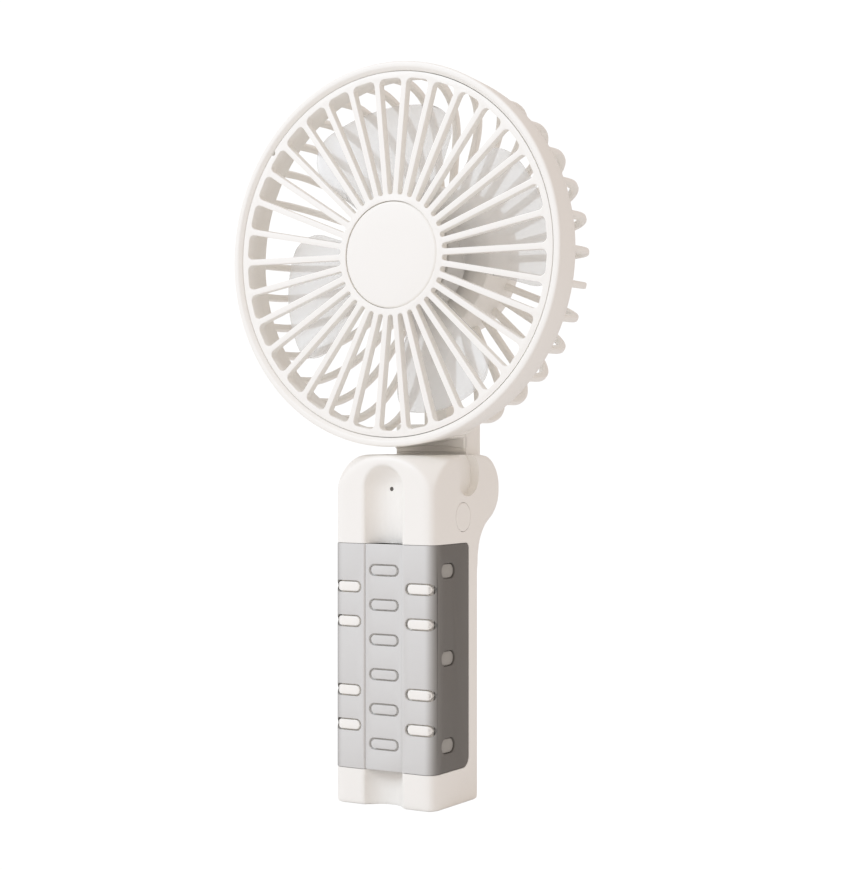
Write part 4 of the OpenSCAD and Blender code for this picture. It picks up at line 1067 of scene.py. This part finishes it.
def make_button():
    """The power button: a flush round cap with a softened rim and a faint dish."""
    y, z = (button_low.y + button_high.y) / 2, (button_low.z + button_high.z) / 2
    face = button_high.x
    cap = rod("button_cap", BUTTON_R, (HALF_W - 2.5 * MM, y, z), (face, y, z))
    for inset, push in ((0.9 * MM, 0), (0.9 * MM, 0.12 * MM), (1.0 * MM, 0.06 * MM)):
        pick_normals(cap, lambda n, c: n.x > 0.9 and (c - Vector((face, y, z))).length < 0.3 * MM)
        bpy.ops.mesh.inset(thickness=inset)
        bpy.ops.transform.translate(value=(-push, 0, 0))
        close()
    round_edges(cap, 0.22 * MM, 3, lambda p: abs(p.x - face) < 0.01 * MM
                and (p - Vector((face, y, z))).length > BUTTON_R - 0.1 * MM)
    return hand_in(cap, "button", CREAM, ["power_button"])


def make_panel():
    """The rear panel with its ears beside the hinge and four screw seats."""
    panel = soften(merged_copy("handle_back", "rear_panel"), 0.3 * MM, segments=2, angle=50, clamp=False)
    return hand_in(panel, "handle", CREAM, ["handle_back"])


# ---------- stage ----------

def make_floor():
    """A plain pale floor."""
    clear_selection()
    bpy.ops.mesh.primitive_circle_add(vertices=96, radius=6, fill_type="NGON", location=(0, 0, handle_low.z))
    floor = bpy.context.object
    floor.name = "floor"
    place_in_mesh(floor)
    material = bpy.data.materials.new("pale_floor")
    material.use_nodes = True
    shader = material.node_tree.nodes["Principled BSDF"]
    shader.inputs["Base Color"].default_value = (0.9, 0.9, 0.9, 1)
    shader.inputs["Roughness"].default_value = 0.9
    shader.inputs["Specular IOR Level"].default_value = 0.1
    nodes = material.node_tree.nodes
    link = material.node_tree.links.new
    seen = nodes.new("ShaderNodeEmission")
    seen.inputs["Strength"].default_value = WHITE_SEEN
    path = nodes.new("ShaderNodeLightPath")
    choice = nodes.new("ShaderNodeMixShader")
    link(path.outputs["Is Camera Ray"], choice.inputs[0])
    link(shader.outputs[0], choice.inputs[1])
    link(seen.outputs[0], choice.inputs[2])
    link(choice.outputs[0], nodes["Material Output"].inputs["Surface"])
    floor.data.materials.append(material)


def make_world():
    """Even studio light, seen as plain white behind the object."""
    world = bpy.data.worlds.new("studio")
    bpy.context.scene.world = world
    world.use_nodes = True
    nodes = world.node_tree.nodes
    link = world.node_tree.links.new
    seen = nodes["Background"]
    seen.inputs["Color"].default_value = (1, 1, 1, 1)
    seen.inputs["Strength"].default_value = WHITE_SEEN
    lighting = nodes.new("ShaderNodeBackground")
    lighting.inputs["Color"].default_value = (1.0, 0.915, 0.875, 1)
    lighting.inputs["Strength"].default_value = 0.73
    path = nodes.new("ShaderNodeLightPath")
    choice = nodes.new("ShaderNodeMixShader")
    link(path.outputs["Is Camera Ray"], choice.inputs[0])
    link(lighting.outputs[0], choice.inputs[1])
    link(seen.outputs[0], choice.inputs[2])
    link(choice.outputs[0], nodes["World Output"].inputs["Surface"])


def area_light(name, place, size, power, color, target):
    light = bpy.data.lights.new(name, "AREA")
    light.shape = "DISK"
    light.size = size
    light.energy = power
    light.color = color
    lamp = bpy.data.objects.new(name, light)
    lamp.location = place
    lamp.rotation_euler = (Vector(target) - Vector(place)).to_track_quat("-Z", "Y").to_euler()
    bpy.context.scene.collection.objects.link(lamp)


def make_lights():
    middle = (cad_low + cad_high) / 2
    area_light("key", middle + Vector((-0.45, -0.9, 0.75)), 0.7, 6.3, (0.70, 0.84, 1.0), middle)


def make_camera():
    """A level camera, a little under the head, that looks from the front right."""
    turn = math.radians(31.22)
    away, aside, height = 0.516, 0.010, 0.10098
    forward = Vector((-math.sin(turn), math.cos(turn), 0))
    right = Vector((math.cos(turn), math.sin(turn), 0))
    data = bpy.data.cameras.new("camera")
    data.sensor_width = 36
    data.lens = 78.44
    camera = bpy.data.objects.new("camera", data)
    place = LIP - forward * away + right * aside
    camera.location = (place.x, place.y, handle_low.z + height)
    camera.rotation_euler = (math.pi / 2, 0, turn)
    bpy.context.scene.collection.objects.link(camera)
    bpy.context.scene.camera = camera


def main():
    scene = bpy.context.scene
    scene.view_settings.view_transform = "Standard"
    dress_cad_nodes()
    make_drum()
    make_grille()
    make_cap()
    make_rear_cage()
    make_neck_cover()
    make_pod_cover()
    make_impeller()
    make_handle()
    make_grip()
    make_studs()
    make_button()
    make_panel()
    make_floor()
    make_world()
    make_lights()
    make_camera()


main()
